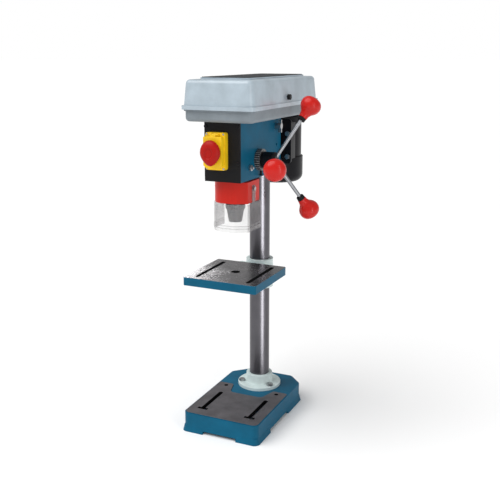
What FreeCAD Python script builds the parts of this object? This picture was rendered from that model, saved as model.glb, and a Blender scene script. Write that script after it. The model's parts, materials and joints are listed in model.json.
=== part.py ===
import FreeCAD, Part
import math
import os
import re
import Sketcher

# Bench drill press. The origin is on the column's axis, on the plane of the base's underside.
# +Z is up, the machine's front is -Y, and the feed handles are on the +X side. Millimetres.

Vector = FreeCAD.Vector
PRESSURE_ANGLE = math.radians(20)
TOOTH_BACKLASH = 0.12
doc = FreeCAD.newDocument("drill_press")
sheet = doc.addObject("Spreadsheet::Sheet", "Sizes")

SIZES = {
    "fits": {"slip": 0.05, "air_gap": 0.35, "play": 0.1},
    "column": {"column_radius": 23, "column_wall": 2.5, "column_top": 660},
    "base": {
        "base_half": 88.5, "base_front": 213, "base_back": 70, "base_high": 42.5, "base_flare": 3.5,
        "base_flare_high": 13, "base_wall": 8, "base_plate": 8, "base_corner": 13, "base_cut": 34,
        "pad_rise": 1.5, "pad_half": 86.5, "pad_back": 78, "pad_front": 211,
        "pad_ear_in": 51, "pad_ear_back": 35, "foot_gap": 7,
        "slot_half": 5, "base_slot_x": 56.5, "base_slot_front": 181, "base_slot_back": 87,
        "cross_half": 12, "bench_radius": 4.75, "bench_x": 64, "bench_y": 48.5,
    },
    "flange": {
        "flange_radius": 50, "flange_thick": 7.5, "collar_radius": 30.5, "collar_top": 72,
        "bolt_ring": 41, "bolt_radius": 4, "bolt_head": 7.5, "bolt_head_high": 5.3, "bolt_deep": 6,
    },
    "table": {
        "throat": 128, "table_half": 84, "table_reach": 82.5, "table_top": 349.5, "table_thick": 18,
        "table_plate": 9, "table_wall": 7, "table_corner": 4, "table_slot_x": 59, "table_slot_half": 4.75,
        "table_slot_front": 197, "table_slot_back": 62, "table_hole": 10, "table_boss": 20,
    },
    "tilt": {
        "tilt_high": 312, "tilt_boss": 24, "tilt_face": 40, "tilt_boss_front": 70, "tilt_bolt": 6,
        "tilt_bolt_end": 26, "tilt_nut": 10.5, "tilt_nut_high": 8, "rib_half": 8, "rib_front": 100,
        "rib_low": 326,
    },
    "bracket": {
        "bracket_radius": 31, "bracket_low": 285, "bracket_top": 351, "ear_out": 54, "ear_half": 13,
        "ear_low": 304, "ear_top": 334, "ear_slit": 1.5, "clamp_x": 44, "clamp_z": 326,
        "clamp_screw": 4, "clamp_hub": 8, "clamp_hub_long": 13, "lever_radius": 3.2,
        "lever_long": 44, "lever_lean": 30, "lever_ball": 6,
    },
    "head": {
        "head_half": 40, "head_low": 554, "head_top": 676, "head_front": 186, "head_back": 31,
        "head_corner": 9, "column_pocket_top": 662, "boss_radius": 27, "boss_top": 694,
        "seat_low": 665, "web_hole": 12, "core_half": 22, "core_front": 74, "core_back": 33,
        "core_top": 650, "wiring_half": 31, "wiring_back": 156, "wiring_low": 578,
        "wiring_top": 662,
    },
    "panel": {
        "panel_half": 40.5, "panel_front": 190.5, "panel_wall": 2.5, "panel_corner": 3,
        "panel_slope_z": 585, "panel_slope_y": 187.5, "panel_screw_x": 36, "panel_screw_low": 594,
        "panel_screw_top": 667, "panel_screw": 1.75, "panel_screw_head": 3.5,
        "panel_screw_long": 36,
    },
    "switch": {
        "switch_x": 8, "switch_half": 22, "switch_low": 580.5, "switch_top": 656, "switch_front": 204,
        "flap_half": 20.5, "flap_low": 585, "flap_top": 649, "flap_front": 217, "flap_wall": 2,
        "flap_chamfer": 6,
        "flap_pin_z": 652, "flap_pin": 2.6, "paddle_z": 617, "paddle_half": 22, "paddle_tall": 26,
        "paddle_front": 236, "paddle_back": 221.5, "stem_radius": 7, "stem_end": 211.5,
        "button_radius": 7, "button_out": 3.5, "button_deep": 11, "start_z": 596,
        "switch_screw": 1.5, "switch_screw_head": 2, "switch_screw_long": 8,
    },
    "quill": {
        "quill_radius": 22, "quill_low": 540, "quill_high": 660, "quill_bore": 12.5,
        "lower_race": 17.5, "lower_race_high": 12, "upper_race": 15, "upper_race_high": 9,
        "rack_low": 576, "rack_top": 656, "feed_y": 98, "feed_z": 592, "tooth_module": 1.25,
        "tooth_count": 16, "rack_half": 9.3, "key_z": 580, "key_y": 142, "key_half": 3.1, "key_depth": 15,
        "key_low": 574, "key_top": 638, "key_screw": 3, "key_nut": 7, "key_nut_high": 5,
        "key_head_out": 49,
    },
    "spindle": {
        "spindle_low_radius": 8.5, "spindle_waist": 8, "spindle_high_radius": 7.5, "spindle_collar": 11,
        "hex_radius": 6, "hex_low": 662, "spindle_top": 742, "taper_wide": 7.9, "taper_slim": 7.2,
        "taper_low": 512, "spindle_chin": 537,
    },
    "chuck": {
        "chuck_top": 536, "chuck_low": 461.5, "chuck_shoulder": 487, "chuck_radius": 18.4,
        "chuck_nose": 14, "chuck_bore": 7.4, "chuck_bore_top": 506,
        "shank_radius": 17, "shank_low": 518, "ring_radius": 21, "ring_low": 488, "ring_top": 513,
        "jaw_radius": 3, "jaw_slope": 15, "jaw_tip_axis": 8.2, "jaw_face": 6.5, "jaw_edge": 5.15,
        "jaw_long": 26,
    },
    "guard": {
        "guard_radius": 41.5, "guard_wall": 2.5, "guard_low": 506, "guard_top": 551, "guard_back": 97,
        "clamp_ring": 28, "clamp_ring_low": 541.5, "lug_half": 9, "lug_back": 39,
        "shield_wall": 2, "shield_low": 446, "side_lug_out": 51, "side_lug_half": 6, "side_lug_low": 546,
        "shield_top": 505, "shield_back": 95, "visor_z": 535, "visor_ear": 8, "visor_pin": 2.5,
        "visor_pin_head": 4.5, "guard_screw": 2, "guard_screw_back": 34.5,
    },
    "feed": {
        "shaft_left": 7, "shaft_right": 11.35, "shaft_left_end": 66, "pinion_half": 8.5,
        "shaft_step": 13.5, "shaft_end": 80, "ring_in": 40.5, "ring_out": 51, "scale_ring": 23,
        "hub_in": 52, "hub_out": 82, "hub_radius": 17.5, "arm_x": 75, "arm_out": 55.7, "arm_reach": 127,
        "arm_radius": 4, "arm_start": 9, "knob_radius": 22.5, "ferrule_radius": 8.5,
        "ferrule_long": 12, "ring_screw": 2.5, "ring_screw_out": 32,
    },
    "spring": {
        "cup_radius": 25, "cup_out": 58, "cup_wall": 2, "strip_thick": 0.8, "strip_turns": 5,
        "strip_in": 7.5, "strip_out": 21.9, "strip_wide": 11, "spring_nut": 11, "spring_nut_high": 6,
    },
    "motor": {
        "motor_y": 108, "motor_radius": 53.5, "motor_low": 572, "motor_top": 672, "motor_corner": 5,
        "rotor_radius": 30, "rotor_low": 594, "rotor_top": 650, "cavity_radius": 31,
        "cavity_low": 580, "cavity_top": 664, "axle_radius": 7, "axle_top": 748, "axle_low": 530,
        "fan_radius": 44, "fan_low": 540, "fan_high": 556, "cover_radius": 57.5, "cover_low": 516,
        "cover_corner": 18, "cover_wall": 2, "vent_ring": 30, "vent_half": 2,
    },
    "motor_mount": {
        "plate_half": 57, "plate_front": 44, "plate_back": 50, "plate_low": 566, "plate_top": 667,
        "plate_corner": 8, "rod_x": 31.5, "rod_z": 655, "rod_low_z": 576, "rod_radius": 5.5,
        "rod_end": 34, "rod_travel": 12, "pad_deep": 76, "mount_x": 48.5,
        "mount_low": 582, "mount_top": 634, "mount_bolt": 3, "mount_head": 6.2,
        "mount_head_high": 4, "mount_long": 12, "tension_y": 5, "tension_screw": 3.5,
        "tension_hub": 6.5, "tension_out": 54,
    },
    "belt_case": {
        "tray_half": 76.5, "tray_front": 209, "tray_back": 151, "tray_wall": 2.5, "tray_top": 700.5,
        "tray_corner": 12, "tray_lip": 80, "tray_lip_out": 3.5, "tray_lip_high": 3, "tray_round": 8,
        "lid_half": 80, "lid_front": 214.5, "lid_back": 156.5, "lid_top": 760, "lid_wall": 2.5,
        "lid_corner": 17, "lid_draft": 6, "lid_round": 9, "bead_out": 1.5, "bead_high": 8, "bead_corner": 11,
        "plateau_half": 57, "plateau_front": 182, "plateau_back": 128, "plateau_top": 763.5,
        "plateau_corner": 14, "film_thick": 1.2, "film_inset": 3,
        "hinge_x": 86, "hinge_radius": 3.2, "hinge_pin": 1.5, "hinge_long": 34, "hinge_share": 11,
        "hinge_front": 120, "hinge_back": 70, "latch_y": 31, "latch_z": 720, "latch_hole": 3,
        "latch_radius": 6, "latch_in": 66, "latch_out": 84, "case_screw": 2.5, "case_screw_head": 5,
        "case_screw_x": 30, "case_screw_front": 160, "case_screw_back": 26, "case_screw_long": 12,
    },
    "pulleys": {
        "bearing_radius": 20, "bearing_thick": 12, "bearing_gap": 4, "sleeve_radius": 8.5,
        "sleeve_low": 664, "sleeve_top": 755, "step_high": 9.5, "pulley_low": 702, "pulley_big": 40,
        "pulley_drop": 5, "groove_deep": 7, "groove_flat": 3, "groove_lip": 1, "steps": 5,
        "belt_step": 2, "belt_thick": 3.7, "belt_wide": 3.8, "belt_sunk": 1, "nut_radius": 13,
        "nut_high": 5,
    },
    "gland": {"gland_y": 60, "gland_z": 575, "gland_radius": 8, "gland_out": 12, "gland_hole": 3.6},
}


def fill_sheet():
    row = 0
    for group, sizes in SIZES.items():
        row += 1
        sheet.set("A%d" % row, group)
        for alias, value in sizes.items():
            row += 1
            sheet.set("A%d" % row, alias.replace("_", " "))
            sheet.set("B%d" % row, str(value))
            sheet.setAlias("B%d" % row, alias)
    doc.recompute()


fill_sheet()
ALIASES = {alias for sizes in SIZES.values() for alias in sizes}


def bound(text):
    """The expression text with every size's alias pointing at the sheet."""
    return re.sub(r"[a-z_]+", lambda m: "Sizes." + m[0] if m[0] in ALIASES else m[0], str(text))


def value(text):
    return float(sheet.evalExpression(bound(text)))


def bind(thing, prop, text):
    thing.setExpression(prop, bound(text))


# ---- placing, sketching and building features ----

NODES = {}


def place(thing, at=(0, 0, 0), turn=None):
    thing.Placement = FreeCAD.Placement(Vector(*[value(a) for a in at]), turn or FreeCAD.Rotation())
    for axis, text in zip("xyz", at):
        bind(thing, "Placement.Base." + axis, text)


def toward(direction):
    return FreeCAD.Rotation(Vector(0, 0, 1), Vector(*direction))


def new_body(name, at=(0, 0, 0), turn=None):
    body = doc.addObject("PartDesign::Body", name)
    body.Label = name
    place(body, at, turn)
    return body


def corner_arc(before, corner, after, radius):
    """Start, end and arc that round a corner, with the arc's own ends in the order it is drawn."""
    back = (before - corner).normalize()
    ahead = (after - corner).normalize()
    half = back.getAngle(ahead) / 2
    start = corner + back * (radius / math.tan(half))
    end = corner + ahead * (radius / math.tan(half))
    centre = corner + (back + ahead).normalize() * (radius / math.sin(half))
    left_turn = (corner - before).cross(after - corner).z > 0
    first, last = (start, end) if left_turn else (end, start)
    angles = [math.atan2(p.y - centre.y, p.x - centre.x) for p in (first, last)]
    if angles[1] < angles[0]:
        angles[1] += 2 * math.pi
    circle = Part.Circle(centre, Vector(0, 0, 1), radius)
    return start, end, Part.ArcOfCircle(circle, *angles), left_turn


def pin_point(sketch, geometry, at):
    for kind, text in zip(("DistanceX", "DistanceY"), at):
        index = sketch.addConstraint(Sketcher.Constraint(kind, -1, 1, geometry, 1, value(text)))
        bind(sketch, "Constraints[%d]" % index, text)


def draw_outline(sketch, corners):
    """A closed outline. Each corner is (x, y) or (x, y, rounding radius), as sheet expressions."""
    spots = [Vector(value(c[0]), value(c[1]), 0) for c in corners]
    count = len(corners)
    rounds = []
    for i, corner in enumerate(corners):
        arc = None
        if len(corner) > 2:
            arc = corner_arc(spots[i - 1], spots[i], spots[(i + 1) % count], value(corner[2]))
        rounds.append(arc)
    lines = []
    for i in range(count):
        start = rounds[i][1] if rounds[i] else spots[i]
        following = (i + 1) % count
        end = rounds[following][0] if rounds[following] else spots[following]
        lines.append(sketch.addGeometry(Part.LineSegment(start, end), False))
    for i, corner in enumerate(corners):
        arriving, leaving = lines[i - 1], lines[i]
        if not rounds[i]:
            sketch.addConstraint(Sketcher.Constraint("Coincident", arriving, 2, leaving, 1))
            pin_point(sketch, leaving, corner)
            continue
        arc = sketch.addGeometry(rounds[i][2], False)
        arc_start, arc_end = (1, 2) if rounds[i][3] else (2, 1)
        spot = sketch.addGeometry(Part.Point(spots[i]), True)
        pin_point(sketch, spot, corner)
        sketch.addConstraint(Sketcher.Constraint("PointOnObject", spot, 1, arriving))
        sketch.addConstraint(Sketcher.Constraint("PointOnObject", spot, 1, leaving))
        sketch.addConstraint(Sketcher.Constraint("Tangent", arriving, 2, arc, arc_start))
        sketch.addConstraint(Sketcher.Constraint("Tangent", arc, arc_end, leaving, 1))
        index = sketch.addConstraint(Sketcher.Constraint("Radius", arc, value(corner[2])))
        bind(sketch, "Constraints[%d]" % index, corner[2])


def draw_circle(sketch, x, y, radius):
    circle = Part.Circle(Vector(value(x), value(y), 0), Vector(0, 0, 1), value(radius))
    index = sketch.addGeometry(circle, False)
    for kind, text in zip(("DistanceX", "DistanceY"), (x, y)):
        held = sketch.addConstraint(Sketcher.Constraint(kind, -1, 1, index, 3, value(text)))
        bind(sketch, "Constraints[%d]" % held, text)
    held = sketch.addConstraint(Sketcher.Constraint("Radius", index, value(radius)))
    bind(sketch, "Constraints[%d]" % held, radius)


def new_sketch(body, plane, loops, offset="0"):
    """Loops are outlines (lists of corners) or circles ((x, y, radius))."""
    sketch = body.newObject("Sketcher::SketchObject", "Sketch")
    origin = [f for f in body.Origin.OriginFeatures if f.Role == plane + "_Plane"][0]
    sketch.AttachmentSupport = [(origin, "")]
    sketch.MapMode = "FlatFace"
    bind(sketch, "AttachmentOffset.Base.z", offset)
    for loop in loops:
        if isinstance(loop, list):
            draw_outline(sketch, loop)
        else:
            draw_circle(sketch, *loop)
    return sketch


def prism(body, plane, loops, low, high, taper=None, cut=False):
    """Adds or cuts the loops' section from low to high along the axis that the plane faces."""
    offset = "-(%s)" % high if plane == "XZ" else low
    sketch = new_sketch(body, plane, loops, offset)
    before = None
    if cut:
        doc.recompute()
        before = body.Shape.Volume
    feature = body.newObject("PartDesign::Pocket" if cut else "PartDesign::Pad", "Prism")
    feature.Profile = sketch
    feature.Reversed = cut
    bind(feature, "Length", "(%s) - (%s)" % (high, low))
    if taper:
        bind(feature, "TaperAngle", taper)
    if cut:
        doc.recompute()
        if not body.Shape.Volume < before - 0.01:
            states = ["%s %s" % (o.Name, o.State) for o in body.Group if "Invalid" in o.State]
            raise RuntimeError("a pocket in %s cuts nothing: %s" % (body.Label, states))
    return feature


def bore(body, plane, x, y, radius, low, high):
    return prism(body, plane, [(x, y, radius)], low, high, cut=True)


def spin(body, corners, cut=False):
    """Turns an outline of (radius, height) corners round the body's own Z axis."""
    sketch = new_sketch(body, "XZ", [corners])
    kind = "PartDesign::Groove" if cut else "PartDesign::Revolution"
    feature = body.newObject(kind, "Turned")
    feature.Profile = sketch
    feature.ReferenceAxis = (sketch, ["V_Axis"])
    feature.Angle = 360
    return feature


def round_edges(body, chosen, radius):
    """Rounds the edges that the test picks by their bounding box."""
    doc.recompute()
    base = body.Tip
    names = ["Edge%d" % (i + 1) for i, e in enumerate(base.Shape.Edges) if chosen(e.BoundBox)]
    feature = body.newObject("PartDesign::Fillet", "Rounded")
    feature.Base = (base, names)
    bind(feature, "Radius", radius)
    return feature


def in_plane(height):
    """Picks the edges that lie flat at a height on Z."""
    level = value(height)
    return lambda box: abs(box.ZMin - level) < 0.01 and abs(box.ZMax - level) < 0.01


def rectangle(x_low, x_high, y_low, y_high, radius=None):
    spots = [(x_low, y_low), (x_high, y_low), (x_high, y_high), (x_low, y_high)]
    return [spot + (radius,) if radius else spot for spot in spots]


def hexagon(x, y, radius):
    return [
        ("%s + (%s) * %.6f" % (x, radius, math.cos(math.radians(60 * i + 30))),
         "%s + (%s) * %.6f" % (y, radius, math.sin(math.radians(60 * i + 30))))
        for i in range(6)
    ]


def turned(name, at, direction, corners):
    body = new_body(name, at, toward(direction))
    spin(body, corners)
    return body


def rod(name, at, direction, radius, long):
    """A plain round bar that starts at a point and runs along a direction."""
    bar = doc.addObject("Part::Cylinder", name)
    bar.Label = name
    bind(bar, "Radius", radius)
    bind(bar, "Height", long)
    place(bar, at, toward(direction))
    return bar


def screw(name, at, direction, head, head_high, radius, long, sides=None):
    """A screw whose head sits on a face at the given point, with its shank along the direction."""
    body = new_body(name, at, toward(direction))
    if sides:
        prism(body, "XY", [hexagon("0", "0", head)], "-(%s)" % head_high, "0")
    else:
        prism(body, "XY", [("0", "0", head)], "-(%s)" % head_high, "0")
    prism(body, "XY", [("0", "0", radius)], "0", long)
    return body


def keep(name, *things):
    """Files one object, or a group of separate solids, as a node."""
    if len(things) == 1:
        thing = things[0]
    else:
        thing = doc.addObject("Part::Compound", name + "_set")
        thing.Links = list(things)
    thing.Label = name
    NODES[name] = thing
    return thing


def ring_spots(count, first, radius):
    """Angle and place of equally spaced spots round the column or spindle."""
    for i in range(count):
        angle = first + 360 / count * i
        yield angle, "(%s) * cos(%g)" % (radius, angle), "(%s) * sin(%g)" % (radius, angle)


# ---- base, flange and column ----


def base_outline(out):
    return [
        ("-base_half - (%s)" % out, "-base_front - (%s)" % out, "base_corner"),
        ("base_half + (%s)" % out, "-base_front - (%s)" % out, "base_corner"),
        ("base_half + (%s)" % out, "base_back + (%s) - base_cut" % out, "base_corner"),
        ("base_half + (%s) - base_cut" % out, "base_back + (%s)" % out, "base_corner"),
        ("-base_half - (%s) + base_cut" % out, "base_back + (%s)" % out, "base_corner"),
        ("-base_half - (%s)" % out, "base_back + (%s) - base_cut" % out, "base_corner"),
    ]


def make_base():
    body = new_body("base_casting")
    prism(body, "XY", [base_outline("0")], "0", "base_high")
    prism(body, "XY", [base_outline("base_flare")], "0", "base_flare_high",
          taper="-atan(base_flare / base_flare_high)")
    inner = [
        ("-base_half + base_wall", "-base_front + base_wall", "base_corner / 2"),
        ("base_half - base_wall", "-base_front + base_wall", "base_corner / 2"),
        ("base_half - base_wall", "base_back - base_wall - base_cut", "base_corner / 2"),
        ("base_half - base_wall - base_cut", "base_back - base_wall", "base_corner / 2"),
        ("-base_half + base_wall + base_cut", "base_back - base_wall", "base_corner / 2"),
        ("-base_half + base_wall", "base_back - base_wall - base_cut", "base_corner / 2"),
    ]
    prism(body, "XY", [inner], "0", "base_high - base_plate", cut=True)
    prism(body, "XY", [("0", "0", "bolt_ring + bolt_radius * 2")], "base_high / 2",
          "base_high - base_plate / 2")
    pad = [
        ("pad_half", "-pad_front", "base_corner - 2"), ("pad_half", "-pad_ear_back", "6"),
        ("pad_ear_in", "-pad_ear_back", "6"), ("pad_ear_in - 12", "-pad_back", "12"),
    ]
    mirrored = [("-(%s)" % x, y, rounding) for x, y, rounding in reversed(pad)]
    prism(body, "XY", [pad + mirrored], "base_high - 1", "base_high + pad_rise")
    prism(body, "YZ", [rectangle("-base_front * 0.68", "-base_front * 0.2", "-1", "foot_gap")],
          "-base_half * 1.2", "base_half * 1.2", cut=True)
    prism(body, "XZ", [rectangle("-base_half * 0.45", "base_half * 0.45", "-1", "foot_gap")],
          "-base_front * 1.2", "-base_front * 0.8", cut=True)
    bottom, top = "base_high / 3", "base_high + pad_rise + 1"
    slots = [
        rectangle(x + " - slot_half", x + " + slot_half", "-base_slot_front", "-base_slot_back",
                  "slot_half * 0.98")
        for x in ("-base_slot_x", "base_slot_x")
    ]
    prism(body, "XY", slots, bottom, top, cut=True)
    crosses = [
        rectangle(x + " - cross_half", x + " + cross_half", "-base_slot_front - slot_half * 0.8",
                  "-base_slot_front + slot_half * 0.8")
        for x in ("-base_slot_x", "base_slot_x")
    ]
    prism(body, "XY", crosses, "base_high - base_plate / 2", top, cut=True)
    for side in ("-bench_x", "bench_x"):
        bore(body, "XY", side, "-bench_y", "bench_radius", bottom, top)
    for angle, x, y in ring_spots(3, 90, "bolt_ring"):
        bore(body, "XY", x, y, "bolt_radius", "base_high / 2 - 1", top)
    keep("base_casting", body)


def make_flange():
    top = "base_high + flange_thick"
    body = turned("column_flange", (0, 0, 0), (0, 0, 1), [
        ("column_radius", "base_high"), ("flange_radius", "base_high"),
        ("flange_radius", top, "1.5"), ("collar_radius + 1.5", top, "1"),
        ("collar_radius", top + " + 3"), ("collar_radius", "collar_top", "1.5"),
        ("column_radius", "collar_top"),
    ])
    for angle, x, y in ring_spots(3, 90, "bolt_ring"):
        bore(body, "XY", x, y, "bolt_radius + play", "base_high - 1", top + " + 1")
    bore(body, "YZ", "0", "collar_top - 10", "key_screw", "-collar_radius - 1", "0")
    keep("column_flange", body)
    bolts = [
        screw("flange_bolt", (x, y, top), (0, 0, -1), "bolt_head", "bolt_head_high", "bolt_radius",
              "flange_thick + bolt_deep", sides=6)
        for angle, x, y in ring_spots(3, 90, "bolt_ring")
    ]
    keep("flange_bolts", *bolts)


def make_column():
    body = turned("column_tube", (0, 0, 0), (0, 0, 1), [
        ("column_radius - column_wall", "base_high"), ("column_radius", "base_high"),
        ("column_radius", "column_top"), ("column_radius - column_wall", "column_top"),
    ])
    keep("column_tube", body)


# ---- work table and its bracket ----


def make_table():
    body = new_body("table_top", (0, "-throat", 0))
    low, plate_low = "table_top - table_thick", "table_top - table_plate"
    prism(body, "XY", [rectangle("-table_half", "table_half", "-table_reach", "table_reach",
                                 "table_corner")], low, "table_top")
    prism(body, "XY", [rectangle("-table_half + table_wall", "table_half - table_wall",
                                 "-table_reach + table_wall", "table_reach - table_wall",
                                 "table_corner")], low, plate_low, cut=True)
    prism(body, "XY", [("0", "0", "table_boss")], low, plate_low + " + 1")
    prism(body, "XZ", [("0", "tilt_high", "tilt_boss")], "throat - tilt_boss_front",
          "throat - tilt_face")
    prism(body, "XY", [rectangle("-rib_half", "rib_half", "throat - rib_front",
                                 "throat - tilt_boss_front + 4")], "rib_low", plate_low + " + 1")
    prism(body, "XY", [rectangle("-tilt_boss", "tilt_boss", "throat - tilt_boss_front",
                                 "table_reach - table_wall / 2")], "tilt_high + tilt_boss / 2",
          plate_low + " + 1")
    slots = [
        rectangle(x + " - table_slot_half", x + " + table_slot_half", "throat - table_slot_front",
                  "throat - table_slot_back", "table_slot_half * 0.98")
        for x in ("-table_slot_x", "table_slot_x")
    ]
    prism(body, "XY", slots, "rib_low", "table_top + 1", cut=True)
    bore(body, "XY", "0", "0", "table_hole", "rib_low", "table_top + 1")
    bore(body, "XZ", "0", "tilt_high", "tilt_bolt + play", "throat - tilt_boss_front - 1",
         "throat - tilt_face + 1")
    keep("table_top", body)


def make_bracket():
    body = new_body("table_bracket")
    prism(body, "XY", [("0", "0", "bracket_radius")], "bracket_low", "bracket_top")
    prism(body, "XZ", [("0", "tilt_high", "tilt_boss")], "-tilt_face", "-column_radius / 2")
    prism(body, "XY", [rectangle("-ear_out", "-column_radius", "-ear_half", "ear_half", "3")],
          "ear_low", "ear_top")
    bore(body, "XY", "0", "0", "column_radius + slip", "bracket_low - 1", "bracket_top + 1")
    prism(body, "XY", [rectangle("-ear_out - 1", "-column_radius / 2", "-ear_slit", "ear_slit")],
          "bracket_low - 1", "bracket_top + 1", cut=True)
    bore(body, "XZ", "0", "tilt_high", "tilt_bolt", "-tilt_face - 1", "-tilt_bolt_end")
    bore(body, "XZ", "-clamp_x", "clamp_z", "clamp_screw + play", "-ear_half - 1", "ear_half + 1")
    keep("table_bracket", body)
    keep("tilt_bolt", screw("tilt_bolt", (0, "-tilt_boss_front", "tilt_high"), (0, 1, 0), "tilt_nut",
                            "tilt_nut_high", "tilt_bolt", "tilt_boss_front - tilt_bolt_end", sides=6))


def make_table_lock():
    body = new_body("table_lock_handle", ("-clamp_x", 0, "clamp_z"))
    prism(body, "XZ", [("0", "0", "clamp_screw")], "-ear_half - clamp_hub_long / 2", "ear_half + 2")
    hub_out = "-ear_half - air_gap - clamp_hub_long"
    prism(body, "XZ", [("0", "0", "clamp_hub")], hub_out, "-ear_half - air_gap")
    lever = rod("lever", (0, 0, 0), (0, 0, 1), "lever_radius", "lever_long")
    lean = math.radians(value("lever_lean"))
    direction = (-math.sin(lean), 0, -math.cos(lean))
    middle = "-ear_half - air_gap - clamp_hub_long / 2"
    place(lever, ("-clamp_x", middle, "clamp_z"), toward(direction))
    ball = doc.addObject("Part::Sphere", "lever_ball")
    bind(ball, "Radius", "lever_ball")
    place(ball, ("-clamp_x - lever_long * sin(lever_lean)", middle,
                 "clamp_z - lever_long * cos(lever_lean)"))
    joined = doc.addObject("Part::MultiFuse", "table_lock_joined")
    joined.Shapes = [body, lever, ball]
    keep("table_lock_handle", joined)


# ---- head ----


def make_head():
    body = new_body("head_casting")
    prism(body, "XY", [[
        ("-head_half", "-head_front"), ("head_half", "-head_front"),
        ("head_half", "head_back", "head_corner"), ("-head_half", "head_back", "head_corner"),
    ]], "head_low", "head_top")
    prism(body, "XY", [("0", "-throat", "boss_radius")], "head_top - 1", "boss_top")
    bore(body, "XY", "0", "0", "column_radius + slip", "head_low - 1", "column_pocket_top")
    bore(body, "XY", "0", "-throat", "quill_radius + slip", "head_low - 1", "column_pocket_top")
    bore(body, "XY", "0", "-throat", "web_hole", "column_pocket_top - 1", "seat_low + 1")
    bore(body, "XY", "0", "-throat", "bearing_radius", "seat_low", "boss_top + 1")
    prism(body, "XY", [rectangle("-core_half", "core_half", "-core_front", "-core_back", "4")],
          "head_low - 1", "core_top", cut=True)
    prism(body, "XZ", [rectangle("-wiring_half", "wiring_half", "wiring_low", "wiring_top", "4")],
          "-head_front - 1", "-wiring_back", cut=True)
    bore(body, "YZ", "-feed_y", "feed_z", "shaft_left + slip", "-head_half - 1", "0")
    bore(body, "YZ", "-feed_y", "feed_z", "shaft_right + slip", "-shaft_step", "head_half + 1")
    bore(body, "YZ", "-key_y", "key_z", "key_screw", "key_depth", "head_half + 1")
    for side in ("-rod_x", "rod_x"):
        for level in ("rod_z", "rod_low_z"):
            bore(body, "XZ", side, level, "rod_radius + slip", "-rod_end - rod_travel - 2",
                 "head_back + 1")
    bore(body, "YZ", "-tension_y", "rod_z", "tension_screw", "rod_x + rod_radius - 1", "head_half + 1")
    bore(body, "YZ", "0", "head_low + 60", "key_screw", "column_radius - 1", "head_half + 1")
    for x in ("-panel_screw_x", "panel_screw_x"):
        for level in ("panel_screw_low", "panel_screw_top"):
            bore(body, "XZ", x, level, "panel_screw", "-head_front - 1",
                 "-panel_front + panel_screw_long + 1")
    for x in ("-case_screw_x", "case_screw_x"):
        for y in ("-case_screw_front", "case_screw_back - 12"):
            bore(body, "XY", x, y, "case_screw", "head_top - case_screw_long + tray_wall - 1",
                 "head_top + 1")
    keep("head_casting", body)


def make_set_screws():
    """The column's grub screws, and the quill's guide screw with its lock nut."""
    guide = new_body("quill_guide_screw", (0, "-key_y", "key_z"), toward((1, 0, 0)))
    prism(guide, "XY", [("0", "0", "key_screw")], "key_depth + 0.5", "key_head_out")
    nut = new_body("guide_lock_nut", (0, "-key_y", "key_z"), toward((1, 0, 0)))
    prism(nut, "XY", [hexagon("0", "0", "key_nut"), ("0", "0", "key_screw")], "head_half",
          "head_half + key_nut_high")
    head_grub = rod("head_grub_screw", ("column_radius + slip", 0, "head_low + 60"), (1, 0, 0),
                    "key_screw", "head_half - column_radius - 4")
    foot_grub = rod("flange_grub_screw", ("-collar_radius", 0, "collar_top - 10"), (1, 0, 0),
                    "key_screw", "collar_radius - column_radius")
    keep("set_screws", guide, nut, head_grub, foot_grub)


def make_front_panel():
    body = new_body("front_panel")
    prism(body, "XY", [[
        ("-panel_half", "-panel_front", "panel_corner"), ("panel_half", "-panel_front", "panel_corner"),
        ("panel_half", "-head_front"), ("-panel_half", "-head_front"),
    ]], "head_low", "head_top")
    prism(body, "YZ", [[
        ("-panel_front - 1", "head_low - 1"), ("-panel_slope_y", "head_low - 1"),
        ("-panel_front", "panel_slope_z", "8"), ("-panel_front - 1", "panel_slope_z + 1"),
    ]], "-panel_half - 1", "panel_half + 1", cut=True)
    inner = [
        ("-head_front + 1", "head_low + panel_wall"), ("-head_front + 1", "head_top - panel_wall"),
        ("-panel_front + panel_wall", "head_top - panel_wall"),
        ("-panel_front + panel_wall", "panel_slope_z + 1"),
        ("-panel_slope_y + 1", "head_low + panel_wall"),
    ]
    prism(body, "YZ", [inner], "-panel_half + panel_wall * 3.2", "panel_half - panel_wall * 3.2",
          cut=True)
    for x in ("-panel_screw_x", "panel_screw_x"):
        for level in ("panel_screw_low", "panel_screw_top"):
            bore(body, "XZ", x, level, "panel_screw", "-panel_front - 1", "-head_front + 1")
    keep("front_panel", body)
    screws = [
        screw("panel_screw", (x, "-panel_front", level), (0, 1, 0), "panel_screw_head", "2",
              "panel_screw", "panel_screw_long")
        for x in ("-panel_screw_x", "panel_screw_x")
        for level in ("panel_screw_low", "panel_screw_top")
    ]
    keep("panel_screws", *screws)


# ---- switch ----


def make_switch():
    left, right = "-switch_x - switch_half", "-switch_x + switch_half"
    body = new_body("switch_housing")
    prism(body, "XZ", [rectangle(left, right, "switch_low", "switch_top", "4")], "-switch_front",
          "-panel_front - panel_screw_head * 0.01")
    for level in ("start_z", "paddle_z"):
        bore(body, "XZ", "-switch_x", level, "button_radius + air_gap", "-switch_front - 1",
             "-switch_front + button_deep")
    for x in (left + " + 3.2", right + " - 3.2"):
        for level in ("switch_low + 3", "switch_top - 3"):
            bore(body, "XZ", x, level, "switch_screw", "-switch_front - 1",
                 "-switch_front + switch_screw_long")
    ear = "flap_half * 0.45"
    for low, high in (("-switch_x - (%s)" % ear, "-switch_x - (%s) + 3" % ear),
                      ("-switch_x + (%s) - 3" % ear, "-switch_x + (%s)" % ear)):
        prism(body, "YZ", [rectangle("-switch_front - flap_pin - 3", "-switch_front + 1",
                                     "flap_pin_z - flap_pin", "flap_pin_z + flap_pin", "2")], low, high)
    keep("switch_housing", body)
    screws = [
        screw("switch_screw", (x, "-switch_front", level), (0, 1, 0), "switch_screw_head", "1.2",
              "switch_screw", "switch_screw_long")
        for x in (left + " + 3.2", right + " - 3.2")
        for level in ("switch_low + 3", "switch_top - 3")
    ]
    keep("switch_screws", *screws)


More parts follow.
